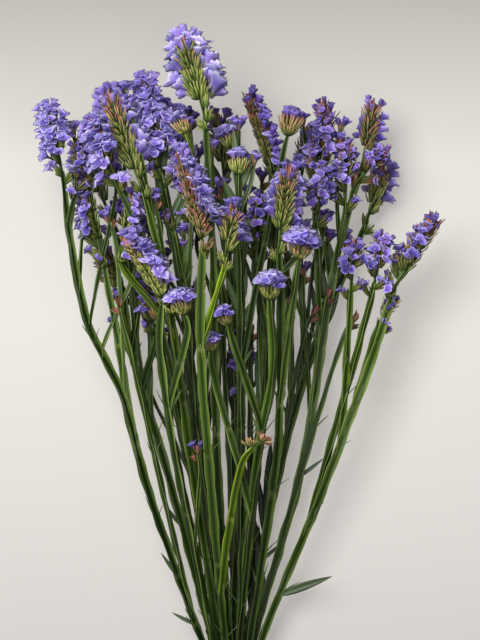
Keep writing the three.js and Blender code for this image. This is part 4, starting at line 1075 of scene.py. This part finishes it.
# Painted shade at the low stops, in the throat, and a painted highlight at the last stop, on the rim.
deep = colour_ramp(tree, reach_along, (0.0, (0.12, 0.15, 0.06)), (0.3, (0.06, 0.03, 0.22)),
                   (0.55, (0.080, 0.045, 0.36)), (0.85, (0.30, 0.24, 0.88)), (1.0, (0.66, 0.62, 1.0)))
soft = colour_ramp(tree, reach_along, (0.0, (0.36, 0.42, 0.20)), (0.3, (0.30, 0.26, 0.48)),
                   (0.55, (0.29, 0.22, 0.74)), (0.85, (0.64, 0.60, 1.0)), (1.0, (0.92, 0.91, 1.0)))
body = blend(tree, pale, deep, soft)
body = blend(tree, reckon(tree, "MULTIPLY", chance, 0.25), body, (0.30, 0.12, 0.55))
body = varied(tree, body, chance, (0.55, 0.55, 0.66), (1.50, 1.52, 1.36))
body = varied(tree, body, ribs, (0.62, 0.60, 0.72), (1.3, 1.3, 1.15), 0.5)
body = varied(tree, body, pleat, (0.80, 0.78, 0.88), (1.18, 1.18, 1.08), 0.3)
# Painted shade for what lies deep in the bunch.
tree.links.new(painted_depth_shade(tree, body, (0.28, 0.23, 0.36)), shader.inputs["Base Color"])
shader.inputs["Roughness"].default_value = 0.6
shader.inputs["Subsurface Weight"].default_value = 0.12
shader.inputs["Subsurface Radius"].default_value = (0.4, 0.3, 1.0)
shader.inputs["Subsurface Scale"].default_value = 0.002
bumped(tree, shader, ribs, 0.4, 0.0003)

petal_skin, tree, shader = new_material("small_petal_skin")
tint = noise(tree, 300)
tree.links.new(blend(tree, tint, (0.42, 0.38, 0.70), (0.60, 0.56, 0.84)), shader.inputs["Base Color"])
shader.inputs["Roughness"].default_value = 0.55

for plant in PLANTS:
    for head in plant.heads:
        if head.facing in ("buds", "bud"):
            continue
        feet, axes, sizes, opens, seeds, tones = head_calyces(plant, head)
        part, uv = calyx_skins(feet, axes, sizes, opens, seeds, tones)
        parts, uvs = [part], [uv]
        # About one in forty of the open calyces holds its small flower.
        flowers = (scatter(seeds * 3 + 1) > 0.95) & (opens > 0.6)
        if flowers.any():
            parts.append(small_petals(feet[flowers], axes[flowers], sizes[flowers]))
            uvs.append(np.full((parts[1][1].size, 2), 0.5))
        piece = make_piece(f"statice_calyces_{head.name}", parts, [calyx_skin, petal_skin],
                           np.concatenate(uvs))
        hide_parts(f"bloom_{head.name}")
        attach(piece, "root")

# A stem is one piece with its leaves, its scales and the calyces of its weak shoots, so it is made last.
for plant in PLANTS:
    for owner, shoot, count in WEAK_SHOOTS:
        if owner == plant.name and count:
            green_parts[owner].append(shoot_calyces(plant, shoot, count))
    piece = make_piece(f"statice_stem_{plant.name}", green_parts[plant.name],
                       [stem_skin, leaf_skin, scale_skin, calyx_skin])
    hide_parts(f"stem_{plant.name}")
    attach(piece, "root")

# ------------------------------------------------------------------ elastic band
# Two turns of a flat rubber band hold the stems. It runs straight between the corner stems and round each of
# them, so its path is the outline of the corners, pushed out by a stem's radius.
BAND_WIDTH, CORNER_POINTS, SECTION_POINTS = 9.0, 9, 20
CORNER_COLUMNS = [1, 1.5, 2, 1.5]
corners = np.array([[c * STEM_PITCH, LOWEST_ROW + ROW_RISE * row] for row, c in enumerate(CORNER_COLUMNS)])
around = np.vstack([corners, (corners * [-1, 1])[::-1]])
ahead = np.roll(around, -1, axis=0) - around
leave = np.unwrap(np.arctan2(-ahead[:, 0], ahead[:, 1]))
arrive = np.concatenate([[leave[-1] - 2 * np.pi], leave[:-1]])
outline = np.repeat(around, CORNER_POINTS, axis=0)
angle = np.linspace(arrive, leave, CORNER_POINTS, axis=1).ravel()
outward = np.column_stack([np.cos(angle), np.sin(angle)])
# The section of one turn is a rounded oblong, as (along the stems, outwards).
bend = np.linspace(0, 2 * np.pi, SECTION_POINTS, endpoint=False)
section = np.column_stack([np.cos(bend), np.sin(bend)])
section = np.sign(section) * np.abs(section) ** 0.5
verts, faces = [], []
for number, centre in enumerate((-0.25 * BAND_WIDTH, 0.25 * BAND_WIDTH)):
    shape = section * [0.23 * BAND_WIDTH, 0.5 * BAND_THICK] + [centre, 0.5 * BAND_THICK]
    wobble = 0.12 * np.sin(np.arange(len(outline)) * 0.7 + 2 * number)
    ring = outline[:, None] + outward[:, None] * (SQUEEZED_RADIUS + FIT_GAP + shape[None, :, 1, None] * 0.98)
    y = shape[None, :, 0] + wobble[:, None]
    verts.append(np.stack([ring[..., 0], y, ring[..., 1]], -1).reshape(-1, 3))
    i, j = np.arange(len(outline))[:, None], np.arange(SECTION_POINTS)[None]
    a, b = i * SECTION_POINTS, ((i + 1) % len(outline)) * SECTION_POINTS
    k = (j + 1) % SECTION_POINTS
    start = number * len(outline) * SECTION_POINTS
    faces.append(np.concatenate([np.stack([a + j, b + k, a + k], -1).reshape(-1, 3),
                                 np.stack([a + j, b + j, b + k], -1).reshape(-1, 3)]) + start)

rubber, tree, shader = new_material("band_rubber")
grain = noise(tree, 400, (1, 1, 1), 4.0)
tree.links.new(blend(tree, grain, (0.42, 0.27, 0.12), (0.56, 0.39, 0.20)), shader.inputs["Base Color"])
shader.inputs["Roughness"].default_value = 0.55
bumped(tree, shader, grain, 0.25, 0.0003)
verts = np.concatenate(verts)
band = make_piece("elastic_band", [(verts, np.concatenate(faces), np.zeros((len(verts), 4)), 0)], [rubber])
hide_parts("band")
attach(band, "root")

# ------------------------------------------------------------------ floor, light and camera
# A pale floor, two wide soft lamps, and a camera that looks straight down with the flowers at the top of its
# view. The floor's colour is darker towards both ends, most at the flowers' end: painted shade for the
# falling off of the light. It also glows faintly, a painted light that keeps the shadows soft.
FLOOR_HALF, FLOOR_ENDS = 4.0, (-0.2, 0.34)
CAMERA_PLACE, VIEW_DISTANCE, VIEW_HEIGHT = (0.0012, 0.074, 3.0), 2.925, 0.512
LAMP_AIM = (0.0, 0.05, 0.05)

floor_mesh = bpy.data.meshes.new("floor")
floor_corners = [(-1, -1), (1, -1), (1, 1), (-1, 1)]
floor_mesh.from_pydata([(x * FLOOR_HALF, y * FLOOR_HALF, 0) for x, y in floor_corners], [], [(0, 1, 2, 3)])
floor = bpy.data.objects.new("floor", floor_mesh)
bpy.context.scene.collection.objects.link(floor)
paper, tree, shader = new_material("floor_paper")
along_floor = map_range(tree, object_place(tree)[1], *FLOOR_ENDS)
# Painted shade: the floor's colour darkens towards its ends.
paper_with_painted_falloff = colour_ramp(tree, along_floor, (0.0, (0.31, 0.290, 0.275)), (0.26, (0.395, 0.37, 0.35)),
                         (0.5, (0.445, 0.425, 0.395)), (0.75, (0.415, 0.40, 0.37)),
                         (1.0, (0.15, 0.146, 0.127)))
tree.links.new(paper_with_painted_falloff, shader.inputs["Base Color"])
shader.inputs["Roughness"].default_value = 0.9
# Painted light: the floor glows, though it is no lamp, which lightens its shadows.
shader.inputs["Emission Color"].default_value = (1.0, 0.97, 0.92, 1)
shader.inputs["Emission Strength"].default_value = 0.33
floor_mesh.materials.append(paper)

world = bpy.data.worlds.new("studio")
bpy.context.scene.world = world
world.use_nodes = True
world.node_tree.nodes["Background"].inputs["Color"].default_value = (0.93, 0.96, 1.0, 1)
world.node_tree.nodes["Background"].inputs["Strength"].default_value = 0.05


def soft_lamp(name, place, size, watts):
    """A wide round lamp that faces the bunch."""
    lamp = bpy.data.lights.new(name, "AREA")
    lamp.shape, lamp.size, lamp.energy = "DISK", size, watts
    holder = bpy.data.objects.new(name, lamp)
    bpy.context.scene.collection.objects.link(holder)
    holder.location = place
    holder.rotation_euler = Vector(np.subtract(LAMP_AIM, place)).to_track_quat("-Z", "Y").to_euler()


soft_lamp("key_lamp", (-1.1, 1.1, 2.9), 2.2, 120.0)
soft_lamp("fill_lamp", (0.5, -0.3, 3.3), 2.0, 24.0)

camera = bpy.data.cameras.new("camera")
camera.sensor_width = 36.0
camera.lens = camera.sensor_width * VIEW_DISTANCE / VIEW_HEIGHT
camera.clip_end = 20
holder = bpy.data.objects.new("camera", camera)
bpy.context.scene.collection.objects.link(holder)
holder.location = CAMERA_PLACE
bpy.context.scene.camera = holder
bpy.context.scene.view_settings.view_transform = "Standard"
